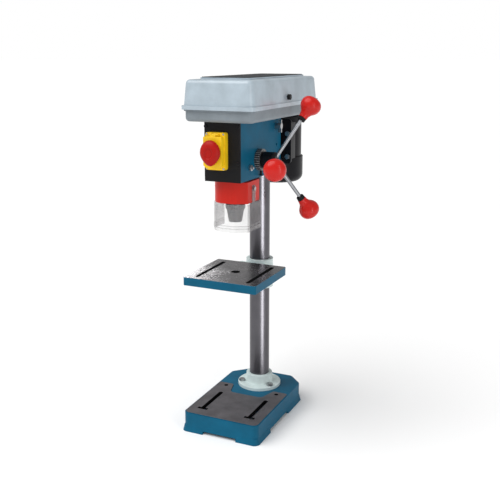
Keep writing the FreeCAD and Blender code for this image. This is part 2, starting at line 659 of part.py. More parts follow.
def make_flap():
    body = new_body("switch_flap", ("-switch_x", 0, 0))
    back = "-switch_front - air_gap"
    prism(body, "XZ", [[
        ("-flap_half + flap_chamfer", "flap_low"), ("flap_half - flap_chamfer", "flap_low"),
        ("flap_half", "flap_low + flap_chamfer"), ("flap_half", "flap_top", "3"),
        ("-flap_half", "flap_top", "3"), ("-flap_half", "flap_low + flap_chamfer"),
    ]], "-flap_front", back)
    inside, chamfer = "flap_half - flap_wall", "(flap_chamfer + flap_wall * 0.4)"
    prism(body, "XZ", [[
        ("-flap_half + " + chamfer, "flap_low + flap_wall"),
        ("flap_half - " + chamfer, "flap_low + flap_wall"),
        (inside, "flap_low + " + chamfer), (inside, "flap_top - flap_wall"),
        ("-(%s)" % inside, "flap_top - flap_wall"), ("-(%s)" % inside, "flap_low + " + chamfer),
    ]], "-flap_front + flap_wall", back + " + 1", cut=True)
    bore(body, "XZ", "0", "paddle_z", "stem_radius + air_gap", "-flap_front - 1",
         "-flap_front + flap_wall + 1")
    knuckle = "flap_half * 0.45 - 3 - air_gap"
    prism(body, "YZ", [("-switch_front - flap_pin - 0.6", "flap_pin_z", "flap_pin - 0.4")],
          "-(%s)" % knuckle, knuckle)
    prism(body, "YZ", [rectangle("-flap_front + 0.5", "-switch_front - flap_pin",
                                 "flap_top - 2", "flap_pin_z")], "-(%s)" % knuckle, knuckle)
    keep("switch_flap", body)


def make_paddle():
    body = new_body("stop_paddle", ("-switch_x", 0, "paddle_z"))
    prism(body, "XZ", [rectangle("-paddle_half", "paddle_half", "-paddle_tall", "paddle_tall",
                                 "paddle_half * 0.8")], "-paddle_front", "-paddle_back")
    level = -value("paddle_front")

    def front_rim(box):
        return abs(box.YMin - level) < 0.01 and abs(box.YMax - level) < 0.01

    round_edges(body, front_rim, "(paddle_front - paddle_back) * 0.6")
    prism(body, "XZ", [("0", "0", "stem_radius")], "-paddle_back - 1", "-stem_end")
    keep("stop_paddle", body)


def make_button(name, level):
    body = turned(name, ("-switch_x", "-switch_front + button_deep", level), (0, -1, 0), [
        ("0", "4"), ("button_radius", "4"), ("button_radius", "button_deep + button_out", "1.2"),
        ("0", "button_deep + button_out"),
    ])
    keep(name, body)


# ---- quill, spindle and chuck ----


def rack_cutter(low, high):
    """The gaps between the rack's teeth, as one row of wedges across the back of the quill."""
    module = value("tooth_module")
    pitch = module * math.pi
    pitch_line = value("throat - feed_y") - module * value("tooth_count") / 2
    tip_out = pitch_line + module * 0.95
    root = pitch_line - module * 1.3
    lean = math.tan(PRESSURE_ANGLE)
    tooth = pitch / 2 - 0.12
    wedges = []
    first = math.ceil((low - value("feed_z")) / pitch)
    last = math.floor((high - value("feed_z")) / pitch)
    outside = value("quill_radius") + 1
    for i in range(first, last):
        middle = value("feed_z") + i * pitch
        half = (pitch - tooth) / 2
        corners = [
            (root, middle - half + (pitch_line - root) * lean),
            (outside, middle - half - (outside - pitch_line) * lean),
            (outside, middle + half + (outside - pitch_line) * lean),
            (root, middle + half - (pitch_line - root) * lean),
        ]
        points = [Vector(-value("rack_half"), y, z) for y, z in corners]
        face = Part.Face(Part.makePolygon(points + points[:1]))
        wedges.append(face.extrude(Vector(2 * value("rack_half"), 0, 0)))
    flat = Part.makeBox(2 * value("rack_half"), outside, high - low)
    flat.translate(Vector(-value("rack_half"), tip_out, low))
    return wedges, flat


def make_quill():
    body = new_body("quill_tube", (0, "-throat", 0))
    shoulder = "quill_low + lower_race_high"
    upper = "quill_high - upper_race_high"
    spin(body, [
        ("lower_race", "quill_low"), ("quill_radius", "quill_low", "1"), ("quill_radius", "quill_high", "1"),
        ("upper_race", "quill_high"), ("upper_race", upper), ("quill_bore", upper),
        ("quill_bore", shoulder), ("lower_race", shoulder),
    ])
    prism(body, "XY", [rectangle("key_depth", "quill_radius + 1", "throat - key_y - key_half",
                                 "throat - key_y + key_half")], "key_low", "key_top", cut=True)
    doc.recompute()
    wedges, flat = rack_cutter(value("rack_low"), value("rack_top"))
    shape = body.Shape.copy()
    for tool in wedges + [flat]:
        tool.translate(Vector(0, -value("throat"), 0))
    shape = shape.cut(flat)
    shape = shape.cut(wedges)
    quill = doc.addObject("Part::Feature", "quill")
    quill.Shape = Part.Solid(shape.Solids[0])
    keep("quill", quill)


def bearing(name, centre_y, low, outer, inner, thick):
    """Inner and outer ring and the balls' cage between them, as three separate solids."""
    wall = "((%s) - (%s)) * 0.3" % (outer, inner)
    rings = []
    for inside, outside, step in (
        (inner, "%s + %s" % (inner, wall), "0"),
        ("%s - %s" % (outer, wall), outer, "0"),
        ("%s + %s + 0.2" % (inner, wall), "%s - %s - 0.2" % (outer, wall), "1.5"),
    ):
        rings.append(turned(name, (0, centre_y, low), (0, 0, 1), [
            (inside, step), (outside, step), (outside, "%s - %s" % (thick, step)),
            (inside, "%s - %s" % (thick, step)),
        ]))
    return rings


def make_spindle():
    low, high = "quill_low", "quill_high"
    body = new_body("spindle", (0, "-throat", 0))
    spin(body, [
        ("0", "taper_low"), ("taper_slim", "taper_low"), ("taper_wide", "chuck_top"),
        ("taper_wide", "spindle_chin"), ("spindle_collar", "spindle_chin"),
        ("spindle_collar", low), ("spindle_low_radius", low),
        ("spindle_low_radius", "quill_low + lower_race_high"),
        ("spindle_waist", "quill_low + lower_race_high"),
        ("spindle_waist", "quill_high - upper_race_high"),
        ("spindle_high_radius", "quill_high - upper_race_high"),
        ("spindle_high_radius", high), ("hex_radius", high), ("hex_radius", "hex_low"),
        ("0", "hex_low"),
    ])
    prism(body, "XY", [hexagon("0", "0", "hex_radius")], "hex_low - 1", "spindle_top")
    keep("spindle", body)
    bearings = bearing("lower_bearing", "-throat", "quill_low", "lower_race", "spindle_low_radius",
                       "lower_race_high")
    bearings += bearing("upper_bearing", "-throat", "quill_high - upper_race_high", "upper_race",
                        "spindle_high_radius", "upper_race_high")
    keep("quill_bearings", *bearings)


def jaw_rod(radius, long, start):
    """A bar along the first jaw's slope, from a distance beyond its tip."""
    slope = math.radians(value("jaw_slope"))
    direction = Vector(math.sin(slope), 0, math.cos(slope))
    tip = Vector(value("jaw_tip_axis"), 0, value("chuck_low - 0.5"))
    return Part.makeCylinder(radius, long, tip + direction * start, direction)


def make_chuck():
    body = new_body("chuck_turned", (0, "-throat", 0))
    spin(body, [
        ("chuck_bore", "chuck_low"), ("chuck_nose", "chuck_low", "1"), ("chuck_radius", "chuck_shoulder"),
        ("chuck_radius", "shank_low"), ("shank_radius", "shank_low"),
        ("shank_radius", "chuck_top", "2"), ("taper_wide", "chuck_top"),
        ("taper_slim", "taper_low"), ("taper_slim", "taper_low - 1"), ("chuck_bore", "chuck_bore_top"),
    ])
    doc.recompute()
    centre = Vector(0, -value("throat"), 0)
    shape = body.Shape.copy()
    tunnel = jaw_rod(value("jaw_radius + play"), value("jaw_long") + 11, -10)
    for i in range(3):
        tool = tunnel.copy()
        tool.rotate(Vector(0, 0, 0), Vector(0, 0, 1), 120 * i)
        tool.translate(centre)
        shape = shape.cut(tool)
    chuck = doc.addObject("Part::Feature", "chuck_body")
    chuck.Shape = max(shape.Solids, key=lambda solid: solid.Volume)
    keep("chuck_body", chuck)
    ring = turned("chuck_sleeve", (0, "-throat", 0), (0, 0, 1), [
        ("chuck_radius + play", "ring_low"), ("ring_radius", "ring_low", "1.5"),
        ("ring_radius", "ring_top", "1.5"), ("chuck_radius + play", "ring_top"),
    ])
    keep("chuck_sleeve", ring)


def make_jaws():
    """Each jaw is a sloping pin with an upright gripping face and two flanks 120 degrees apart."""
    pin = jaw_rod(value("jaw_radius"), value("jaw_long"), 0)
    low, high = value("chuck_low") - 5, value("jaw_long") + 10
    face = Part.makeBox(60, 60, high, Vector(value("jaw_face"), -30, low))
    edge, reach = value("jaw_edge"), 40
    flank = reach * math.tan(math.radians(60))
    corners = [Vector(edge, 0, low), Vector(edge + reach, -flank, low), Vector(edge + reach, flank, low)]
    wedge = Part.Face(Part.makePolygon(corners + corners[:1])).extrude(Vector(0, 0, high))
    shaped = pin.common(face).common(wedge)
    for i in range(3):
        jaw = doc.addObject("Part::Feature", "chuck_jaw_%d" % (i + 1))
        solid = shaped.Solids[0].copy()
        solid.rotate(Vector(0, 0, 0), Vector(0, 0, 1), 120 * i)
        solid.translate(Vector(0, -value("throat"), 0))
        jaw.Shape = solid
        keep("chuck_jaw_%d" % (i + 1), jaw)


# ---- chuck guard ----


def guard_outline(radius, back):
    """Round at the front left, squared at the front right and open at the back."""
    return [
        ("-(%s)" % radius, "-(%s)" % radius, "(%s) * 0.9" % radius),
        ("(%s) * 0.35" % radius, "-(%s)" % radius, "(%s) * 0.6" % radius),
        (radius, "-(%s) * 0.66" % radius, "3"),
        (radius, back), ("-(%s)" % radius, back),
    ]


def make_guard():
    frame = new_body("guard_frame", (0, "-throat", 0))
    back = "throat - guard_back"
    prism(frame, "XY", [guard_outline("guard_radius", back)], "guard_low", "guard_top")
    prism(frame, "XY", [guard_outline("guard_radius - guard_wall", back + " + 1")], "guard_low - 1",
          "guard_top - guard_wall", cut=True)
    prism(frame, "XY", [("0", "0", "clamp_ring")], "clamp_ring_low", "guard_top - 1")
    prism(frame, "XY", [rectangle("-lug_half", "lug_half", "quill_radius", "lug_back", "1")],
          "clamp_ring_low", "guard_top")
    bore(frame, "XY", "0", "0", "quill_radius + slip", "guard_low - 1", "guard_top + 1")
    prism(frame, "XY", [rectangle("-ear_slit", "ear_slit", "0", "throat")], "clamp_ring_low - 1",
          "guard_top + 1", cut=True)
    for side in ("-guard_radius", "guard_radius - guard_wall"):
        bore(frame, "YZ", "0", "visor_z", "visor_pin", side + " - 1", side + " + guard_wall + 1")
    prism(frame, "XY", [rectangle("-side_lug_out", "-guard_radius + guard_wall / 2", "-side_lug_half",
                                  "side_lug_half", "1.5")], "side_lug_low", "guard_top")
    level = "(clamp_ring_low + guard_top) / 2"
    bore(frame, "YZ", "guard_screw_back", level, "guard_screw", "-lug_half - 1", "lug_half + 1")
    keep("guard_frame", frame)
    keep("guard_clamp_screw", screw(
        "guard_clamp_screw", ("lug_half", "-throat + guard_screw_back", level), (-1, 0, 0),
        "guard_screw * 1.6", "3", "guard_screw", "lug_half * 2"))

    inner = "guard_radius + 0.5"
    outer = "guard_radius + 0.5 + shield_wall"
    shield = new_body("guard_shield", (0, "-throat", 0))
    back = "throat - shield_back"
    prism(shield, "XY", [guard_outline(outer, back)], "shield_low", "shield_top")
    prism(shield, "XZ", [rectangle("-(%s)" % outer, outer, "shield_top - 1", "visor_z + visor_ear",
                                   "visor_ear * 0.6")], "-visor_ear", "visor_ear")
    prism(shield, "XY", [guard_outline(inner, back + " + 1")], "shield_low - 1",
          "visor_z + visor_ear + 1", cut=True)
    for side in ("-(%s) - 1" % outer, inner + " - 1"):
        bore(shield, "YZ", "0", "visor_z", "visor_pin + play", side, side + " + shield_wall + 2")
    keep("guard_shield", shield)
    pins = []
    for sign in (-1, 1):
        at = ("%d * (%s + air_gap)" % (sign, outer), "-throat", "visor_z")
        pins.append(screw("guard_pin", at, (-sign, 0, 0), "visor_pin_head", "2", "visor_pin",
                          "shield_wall + 0.5 + air_gap + guard_wall"))
    keep("guard_pins", *pins)


# ---- feed shaft and handles ----


def involute(angle):
    return math.tan(angle) - angle


def pinion_teeth():
    """An involute pinion along X, centred on the feed shaft, with a tooth pointing straight at the rack."""
    module, count = value("tooth_module"), int(value("tooth_count"))
    pitch_radius = module * count / 2
    base_radius = pitch_radius * math.cos(PRESSURE_ANGLE)
    tip, root = pitch_radius + module * 0.95, pitch_radius - module * 1.3
    half_tooth = (math.pi / 2 - TOOTH_BACKLASH / module) / count
    points = []
    for i in range(count):
        middle = 2 * math.pi * i / count
        flank = []
        for j in range(7):
            radius = max(base_radius, root) + (tip - max(base_radius, root)) * j / 6
            angle = math.acos(min(1, base_radius / radius))
            flank.append((radius, half_tooth + involute(PRESSURE_ANGLE) - involute(angle)))
        flank.insert(0, (root, flank[0][1]))
        for radius, angle in flank:
            points.append((radius, middle - angle))
        for radius, angle in reversed(flank):
            points.append((radius, middle + angle))
    return [(r * math.cos(a), r * math.sin(a)) for r, a in points]


def make_feed_shaft():
    at = (0, "-feed_y", "feed_z")
    body = new_body("shaft_turned", at, toward((1, 0, 0)))
    prism(body, "XY", [("0", "0", "shaft_left")], "-shaft_left_end", "-pinion_half")
    prism(body, "XY", [("0", "0", "shaft_left")], "-pinion_half - 1", "shaft_end")
    prism(body, "XY", [("0", "0", "shaft_right")], "shaft_step + 1", "hub_in")
    doc.recompute()
    points = pinion_teeth()
    half = value("pinion_half")
    loop = [Vector(-half, -value("feed_y") + y, value("feed_z") + z) for y, z in points]
    gear = Part.Face(Part.makePolygon(loop + loop[:1])).extrude(Vector(2 * half, 0, 0))
    shaft = doc.addObject("Part::Feature", "feed_shaft")
    shaft.Shape = body.Shape.fuse(gear).removeSplitter().Solids[0]
    keep("feed_shaft", shaft)


def make_feed_hub():
    hub = new_body("feed_hub", (0, "-feed_y", "feed_z"), toward((1, 0, 0)))
    spin(hub, [
        ("shaft_left", "hub_in"), ("hub_radius", "hub_in", "2"), ("hub_radius", "hub_out - 3", "4"),
        ("hub_radius - 6", "hub_out", "2"), ("0", "hub_out"), ("0", "shaft_end"),
        ("shaft_left", "shaft_end"),
    ])
    doc.recompute()
    shape = hub.Shape.copy()
    apex = Vector(value("arm_x"), -value("feed_y"), value("feed_z"))
    for angle in ARM_ANGLES:
        direction = arm_direction(angle)
        start = apex + direction * value("arm_start")
        shape = shape.cut(Part.makeCylinder(value("arm_radius"), value("arm_reach"), start, direction))
    piece = doc.addObject("Part::Feature", "feed_hub_drilled")
    piece.Shape = shape.Solids[0]
    keep("feed_hub", piece)


ARM_ANGLES = (60, 180, 300)
ARM_SPAN = "sqrt(arm_out ^ 2 + arm_reach ^ 2)"


def arm_direction(angle):
    across = Vector(0, math.cos(math.radians(angle)), math.sin(math.radians(angle)))
    return (Vector(value("arm_out"), 0, 0) + across * value("arm_reach")).normalize()


def on_arm(angle, distance):
    """A place on an arm's centre line, at a distance from where the three arms' lines meet."""
    share = "(%s) / %s" % (distance, ARM_SPAN)
    return (
        "arm_x + arm_out * %s" % share,
        "-feed_y + arm_reach * cos(%d) * %s" % (angle, share),
        "feed_z + arm_reach * sin(%d) * %s" % (angle, share),
    )


def make_arms():
    """Three sloping rods, one pointing to the front, each with a ferrule and a ball-shaped knob."""
    knob_low = ARM_SPAN + " - knob_radius * 0.9"
    rods, ferrules, knobs = [], [], []
    for angle in ARM_ANGLES:
        direction = arm_direction(angle)
        rods.append(rod("feed_rod", on_arm(angle, "arm_start"), direction, "arm_radius",
                        ARM_SPAN + " - arm_start"))
        ferrules.append(turned("knob_ferrule", on_arm(angle, knob_low + " - ferrule_long"), direction, [
            ("arm_radius", "0"), ("ferrule_radius - 1.5", "0", "1"),
            ("ferrule_radius", "ferrule_long"), ("arm_radius", "ferrule_long"),
        ]))
        knobs.append(turned("feed_knob", on_arm(angle, knob_low), direction, [
            ("arm_radius", "0"), ("ferrule_radius", "0", "1"),
            ("knob_radius", "knob_radius * 0.42", "knob_radius * 0.3"),
            ("knob_radius", "knob_radius * 1.9", "knob_radius * 0.93"),
            ("0", "knob_radius * 1.9"), ("0", "knob_radius * 0.9"),
            ("arm_radius", "knob_radius * 0.9"),
        ]))
    keep("feed_rods", *rods)
    keep("knob_ferrules", *ferrules)
    keep("feed_knobs", *knobs)


def make_depth_ring():
    ring = new_body("depth_scale_ring", (0, "-feed_y", "feed_z"), toward((1, 0, 0)))
    prism(ring, "XY", [("0", "0", "scale_ring"), ("0", "0", "shaft_right + slip")], "ring_in",
          "ring_out")
    middle = "(ring_in + ring_out) / 2"
    bore(ring, "YZ", "0", middle, "ring_screw", "shaft_right - 1", "scale_ring + 1")
    keep("depth_scale_ring", ring)
    at = (middle, "-feed_y", "feed_z - ring_screw_out")
    keep("depth_lock_screw", screw("depth_lock_screw", at, (0, 0, 1), "ring_screw * 2",
                                   "1.5", "ring_screw", "ring_screw_out - shaft_right - 0.4"))


def make_return_spring():
    at = (0, "-feed_y", "feed_z")
    cup = new_body("spring_housing", at, toward((-1, 0, 0)))
    spin(cup, [
        ("cup_radius - cup_wall", "head_half"), ("cup_radius", "head_half"),
        ("cup_radius", "cup_out", "4"), ("shaft_left + air_gap", "cup_out"),
        ("shaft_left + air_gap", "cup_out - cup_wall"),
        ("cup_radius - cup_wall", "cup_out - cup_wall", "2"),
    ])
    keep("spring_housing", cup)
    nut = new_body("spring_nut", at, toward((-1, 0, 0)))
    prism(nut, "XY", [hexagon("0", "0", "spring_nut"), ("0", "0", "shaft_left")],
          "cup_out + air_gap", "cup_out + air_gap + spring_nut_high")
    keep("spring_nut", nut)
    turns, inside, outside = value("strip_turns"), value("strip_in"), value("strip_out")
    thick, wide = value("strip_thick"), value("strip_wide")
    low = value("head_half + (cup_out - cup_wall - head_half - strip_wide) / 2")
    steps = int(turns * 18)
    inner, outer = [], []
    for i in range(steps + 1):
        angle = 2 * math.pi * turns * i / steps
        radius = inside + (outside - inside) * i / steps
        inner.append(Vector(-low, math.cos(angle) * radius, math.sin(angle) * radius))
        outer.append(Vector(-low, math.cos(angle) * (radius + thick), math.sin(angle) * (radius + thick)))
    loop = inner + outer[::-1]
    strip = Part.Face(Part.makePolygon(loop + loop[:1])).extrude(Vector(-wide, 0, 0))
    strip.translate(Vector(0, -value("feed_y"), value("feed_z")))
    piece = doc.addObject("Part::Feature", "return_spring")
    piece.Shape = strip
    keep("return_spring", piece)


# ---- motor and its mount ----


def make_motor():
    body = new_body("motor_body", (0, "motor_y", 0))
    spin(body, [
        ("axle_radius + air_gap", "motor_low"), ("motor_radius", "motor_low"),
        ("motor_radius", "motor_top", "motor_corner"), ("axle_radius + air_gap", "motor_top"),
        ("axle_radius + air_gap", "cavity_top"), ("cavity_radius", "cavity_top"),
        ("cavity_radius", "cavity_low"), ("axle_radius + air_gap", "cavity_low"),
    ])
    low, high = "plate_low + 10", "plate_top - 9"
    for x in ("-mount_x", "mount_x"):
        prism(body, "XY", [rectangle(x + " - 6.5", x + " + 6.5", "plate_back - motor_y",
                                     "pad_deep - motor_y", "1")], low, high)
        for level in ("mount_low", "mount_top"):
            bore(body, "XZ", x, level, "mount_bolt", "plate_back - motor_y - 1",
                 "plate_back - motor_y + mount_long - 5.5")
    bore(body, "YZ", "gland_y - motor_y + 44", "gland_z + 20", "gland_radius - 2",
         "-motor_radius - 1", "-motor_radius + 9")
    keep("motor_body", body)

    cover = new_body("motor_fan_cover", (0, "motor_y", 0))
    inside = "cover_radius - cover_wall"
    spin(cover, [
        ("0", "cover_low"), ("cover_radius", "cover_low", "cover_corner"),
        ("cover_radius", "motor_low"), (inside, "motor_low"),
        (inside, "cover_low + cover_wall", "cover_corner - cover_wall"),
        ("0", "cover_low + cover_wall"),
    ])
    for i in range(8):
        slot = [
            ("vent_ring * cos(%d) - (%s)" % (45 * i, a), "vent_ring * sin(%d) - (%s)" % (45 * i, b))
            for a, b in (("vent_half", "vent_half"), ("-vent_half", "vent_half"),
                         ("-vent_half", "-vent_half"), ("vent_half", "-vent_half"))
        ]
        prism(cover, "XY", [slot], "cover_low - 1", "cover_low + cover_wall + 1", cut=True)
    prism(cover, "XY", [("0", "0", "cover_radius"), ("0", "0", "motor_radius + slip")], "motor_low",
          "motor_low + 4")
    prism(cover, "XY", [("0", "0", "cover_radius - cover_wall / 2"),
                        ("0", "0", "motor_radius - 4")], "motor_low - 2", "motor_low")
    keep("motor_fan_cover", cover)

    rotor = turned("motor_shaft", (0, "motor_y", 0), (0, 0, 1), [
        ("0", "axle_low"), ("axle_radius", "axle_low"), ("axle_radius", "fan_low"),
        ("fan_radius", "fan_low"), ("fan_radius", "fan_high"), ("axle_radius", "fan_high"),
        ("axle_radius", "rotor_low"), ("rotor_radius", "rotor_low"), ("rotor_radius", "rotor_top"),
        ("axle_radius", "rotor_top"), ("axle_radius", "axle_top"), ("0", "axle_top"),
    ])
    keep("motor_shaft", rotor)


def make_motor_mount():
    plate = new_body("motor_plate")
    prism(plate, "XZ", [rectangle("-plate_half", "plate_half", "plate_low", "plate_top",
                                  "plate_corner")], "plate_front", "plate_back")
    for x in ("-mount_x", "mount_x"):
        for level in ("mount_low", "mount_top"):
            bore(plate, "XZ", x, level, "mount_bolt + play", "plate_front - 1", "plate_back + 1")
    for x in ("-rod_x", "rod_x"):
        for level in ("rod_z", "rod_low_z"):
            bore(plate, "XZ", x, level, "rod_radius", "plate_front - 1", "plate_back + 1")
    keep("motor_plate", plate)
    rods = [
        rod("motor_rod", (x, "-rod_end", level), (0, 1, 0), "rod_radius", "plate_back + rod_end")
        for x in ("-rod_x", "rod_x") for level in ("rod_z", "rod_low_z")
    ]
    keep("motor_rods", *rods)
    bolts = [
        screw("motor_bolt", (x, "plate_front", level), (0, 1, 0), "mount_head", "mount_head_high",
              "mount_bolt", "mount_long", sides=6)
        for x in ("-mount_x", "mount_x") for level in ("mount_low", "mount_top")
    ]
    keep("motor_bolts", *bolts)
    tip = "rod_x + rod_radius + 0.1"
    lock = new_body("tension_lock_screw", (0, "-tension_y", "rod_z"), toward((1, 0, 0)))
    prism(lock, "XY", [("0", "0", "tension_screw")], tip, "head_half + 4")
    prism(lock, "XY", [("0", "0", "tension_hub")], "head_half + air_gap", "tension_out")
    prism(lock, "XY", [rectangle("-tension_hub * 2.2", "tension_hub * 2.2", "-2", "2", "1.9")],
          "head_half + 6", "tension_out")
    keep("tension_lock_screw", lock)


# ---- pulleys and belt ----


def pulley_outline(bore_radius, big_below):
    """A stack of V-grooved steps, from (radius, height) corners."""
    steps = int(value("steps"))
    corners = [(bore_radius, "pulley_low")]
    for i in range(steps):
        rank = i if big_below else steps - 1 - i
        rim = "(pulley_big - pulley_drop * %d)" % rank
        low = "(pulley_low + step_high * %d)" % i
        corners += [
            (rim, low), (rim, low + " + groove_lip"),
            (rim + " - groove_deep", low + " + (step_high - groove_flat) / 2"),
            (rim + " - groove_deep", low + " + (step_high + groove_flat) / 2"),
            (rim, low + " + step_high - groove_lip"), (rim, low + " + step_high"),
        ]
    corners.append((bore_radius, "pulley_low + step_high * steps"))
    return corners


def make_pulleys():
    spindle_at = (0, "-throat", 0)
    sleeve = new_body("pulley_sleeve", spindle_at)
    prism(sleeve, "XY", [("0", "0", "sleeve_radius"), hexagon("0", "0", "hex_radius + slip * 2")],
          "sleeve_low", "sleeve_top")
    keep("pulley_sleeve", sleeve)
    keep("spindle_pulley", turned("spindle_pulley", spindle_at, (0, 0, 1),
                                  pulley_outline("sleeve_radius", False)))
    nut = new_body("pulley_nut", spindle_at)
    nut_low = "pulley_low + step_high * steps"
    prism(nut, "XY", [hexagon("0", "0", "nut_radius"), ("0", "0", "sleeve_radius")], nut_low,
          nut_low + " + nut_high")
    keep("pulley_nut", nut)
    keep("motor_pulley", turned("motor_pulley", (0, "motor_y", 0), (0, 0, 1),
                                pulley_outline("axle_radius", True)))
    low_bearing = bearing("sleeve_bearing", "-throat", "seat_low", "bearing_radius", "sleeve_radius",
                          "bearing_thick")
    high_bearing = bearing("sleeve_bearing", "-throat", "seat_low + bearing_thick + bearing_gap",
                           "bearing_radius", "sleeve_radius", "bearing_thick")
    keep("sleeve_bearings", *(low_bearing + high_bearing))


def belt_loop(radius):
    """A loop with round ends about the spindle and the motor shaft."""
    spots = [("-(%s)" % radius, "-throat - (%s)" % radius), (radius, "-throat - (%s)" % radius),
             (radius, "motor_y + (%s)" % radius), ("-(%s)" % radius, "motor_y + (%s)" % radius)]
    return [spot + ("(%s) * 0.9999" % radius,) for spot in spots]


def make_belt():
    body = new_body("v_belt")
    outer = "pulley_big - pulley_drop * belt_step - belt_sunk"
    middle = "pulley_low + step_high * (belt_step + 0.5)"
    prism(body, "XY", [belt_loop(outer), belt_loop(outer + " - belt_thick")],
          middle + " - belt_wide / 2", middle + " + belt_wide / 2")
    keep("v_belt", body)


# ---- belt case ----


def case_outline(half, front, back, radius):
    return rectangle("-(%s)" % half, half, "-(%s)" % front, back, radius)


def make_tray():
    body = new_body("belt_tray")
    prism(body, "XY", [case_outline("tray_half", "tray_front", "tray_back", "tray_corner")],
          "head_top", "tray_top")
    round_edges(body, in_plane("head_top"), "tray_round")
    prism(body, "XY", [case_outline("tray_lip", "tray_front + tray_lip_out", "tray_back + tray_lip_out",
                                    "tray_corner + tray_lip_out")], "tray_top - tray_lip_high", "tray_top")
    wall = "tray_wall"
    prism(body, "XY", [case_outline("tray_half - " + wall, "tray_front - " + wall,
                                    "tray_back - " + wall, "tray_corner - " + wall)],
          "head_top + tray_wall * 2", "tray_top + 1", cut=True)
    prism(body, "XY", [case_outline("tray_half - tray_round", "tray_front - tray_round",
                                    "tray_back - tray_round", "tray_corner - tray_round")],
          "head_top + tray_wall", "head_top + tray_wall * 3", cut=True)
    bore(body, "XY", "0", "-throat", "boss_radius", "head_top - 1", "head_top + tray_wall + 1")
    prism(body, "XY", [rectangle("-axle_radius * 1.8", "axle_radius * 1.8",
                                 "motor_y - rod_travel - axle_radius * 1.8",
                                 "motor_y + axle_radius * 1.8", "axle_radius * 1.6")],
          "head_top - 1", "head_top + tray_wall + 1", cut=True)
    for x in ("-case_screw_x", "case_screw_x"):
        for y in ("-case_screw_front", "case_screw_back - 12"):
            bore(body, "XY", x, y, "case_screw", "head_top - 1", "head_top + tray_wall + 1")
    third = "hinge_share"
    for y in ("-hinge_front", "hinge_back"):
        for low, high in ((y, y + " + " + third),
                          (y + " + hinge_long - " + third, y + " + hinge_long")):
            prism(body, "XZ", [("-hinge_x", "tray_top", "hinge_radius")], low, high)
            prism(body, "XZ", [rectangle("-hinge_x", "-tray_half", "tray_top - hinge_radius",
                                         "tray_top - 0.2")], low, high)
        bore(body, "XZ", "-hinge_x", "tray_top", "hinge_pin", y + " - 1", y + " + hinge_long + 1")
    keep("belt_tray", body)
    screws = [
        screw("tray_screw", (x, y, "head_top + tray_wall"), (0, 0, -1), "case_screw_head", "3",
              "case_screw", "case_screw_long")
        for x in ("-case_screw_x", "case_screw_x")
        for y in ("-case_screw_front", "case_screw_back - 12")
    ]
    keep("tray_screws", *screws)


def make_lid():
    body = new_body("belt_lid")
    prism(body, "XY", [case_outline("lid_half", "lid_front", "lid_back", "lid_corner")], "tray_top",
          "lid_top", taper="-lid_draft")
    round_edges(body, in_plane("lid_top"), "lid_round")
    prism(body, "XY", [case_outline("lid_half + bead_out", "lid_front + bead_out",
                                    "lid_back + bead_out", "bead_corner")], "tray_top",
          "tray_top + bead_high")
    prism(body, "XY", [case_outline("plateau_half", "plateau_front", "plateau_back",
                                    "plateau_corner")], "lid_top - 1", "plateau_top")
    prism(body, "XY", [case_outline("lid_half - lid_wall", "lid_front - lid_wall",
                                    "lid_back - lid_wall", "lid_corner - lid_wall")], "tray_top",
          "lid_top - lid_wall", taper="-lid_draft", cut=True)
    bore(body, "YZ", "-latch_y", "latch_z", "latch_hole", "latch_in", "latch_out + 4")
    third = "hinge_share"
    for y in ("-hinge_front", "hinge_back"):
        low = y + " + " + third + " + air_gap"
        high = y + " + hinge_long - " + third + " - air_gap"
        prism(body, "XZ", [("-hinge_x", "tray_top", "hinge_radius")], low, high)
        prism(body, "XZ", [rectangle("-hinge_x", "-lid_half + lid_wall / 2", "tray_top",
                                     "tray_top + hinge_radius")], low, high)
        bore(body, "XZ", "-hinge_x", "tray_top", "hinge_pin + play", y + " - 1",
             y + " + hinge_long + 1")
    keep("belt_lid", body)
    film = new_body("lid_top_panel")
    inset = " - film_inset"
    prism(film, "XY", [case_outline("plateau_half" + inset, "plateau_front" + inset,
                                    "plateau_back" + inset, "plateau_corner" + inset)],
          "plateau_top", "plateau_top + film_thick")
    keep("lid_top_panel", film)
    pins = [
        rod("lid_hinge_pin", ("-hinge_x", y, "tray_top"), (0, 1, 0), "hinge_pin", "hinge_long")
        for y in ("-hinge_front", "hinge_back")
    ]
    keep("lid_hinge_pins", *pins)
    at = ("lid_half - (latch_z - tray_top) * tan(lid_draft) + 1.2", "-latch_y", "latch_z")
    keep("lid_lock_screw", screw("lid_lock_screw", at, (-1, 0, 0), "latch_radius", "6",
                                 "latch_hole - air_gap", "9"))


def make_gland():
    body = turned("cable_gland", ("-head_half", "-gland_y", "gland_z"), (-1, 0, 0), [
        ("gland_hole", "0"), ("gland_radius", "0"), ("gland_radius", "4"),
        ("gland_radius - 2.5", "5"), ("gland_radius - 2.5", "gland_out", "1"),
        ("gland_hole", "gland_out"),
    ])
    keep("cable_gland", body)


def check_and_write():
    doc.recompute()
    faults = []
    for thing in doc.Objects:
        if "Invalid" in thing.State or "Error" in thing.State:
            faults.append(thing.Name + " in " + thing.Label)
    for name, thing in NODES.items():
        if thing.Shape.isNull() or not thing.Shape.isValid() or not thing.Shape.Solids:
            faults.append(name + " has no valid solid")
    if faults:
        raise RuntimeError("; ".join(faults))
    os.makedirs("parts", exist_ok=True)
    for name, thing in NODES.items():
        thing.Shape.exportStep("parts/%s.step" % name)
    print("%d nodes, %d solids" % (len(NODES), sum(len(t.Shape.Solids) for t in NODES.values())))


make_base()
make_flange()
make_column()
make_table()
make_bracket()
make_table_lock()
make_head()
make_set_screws()
make_front_panel()
make_switch()
make_flap()
make_paddle()
make_button("start_button", "start_z")
make_button("stop_button", "paddle_z")
make_quill()
make_spindle()
make_chuck()
make_jaws()
make_guard()
make_feed_shaft()
make_feed_hub()
make_arms()
make_depth_ring()
make_return_spring()
make_motor()
make_motor_mount()
make_pulleys()
make_belt()
make_tray()
make_lid()
make_gland()
check_and_write()
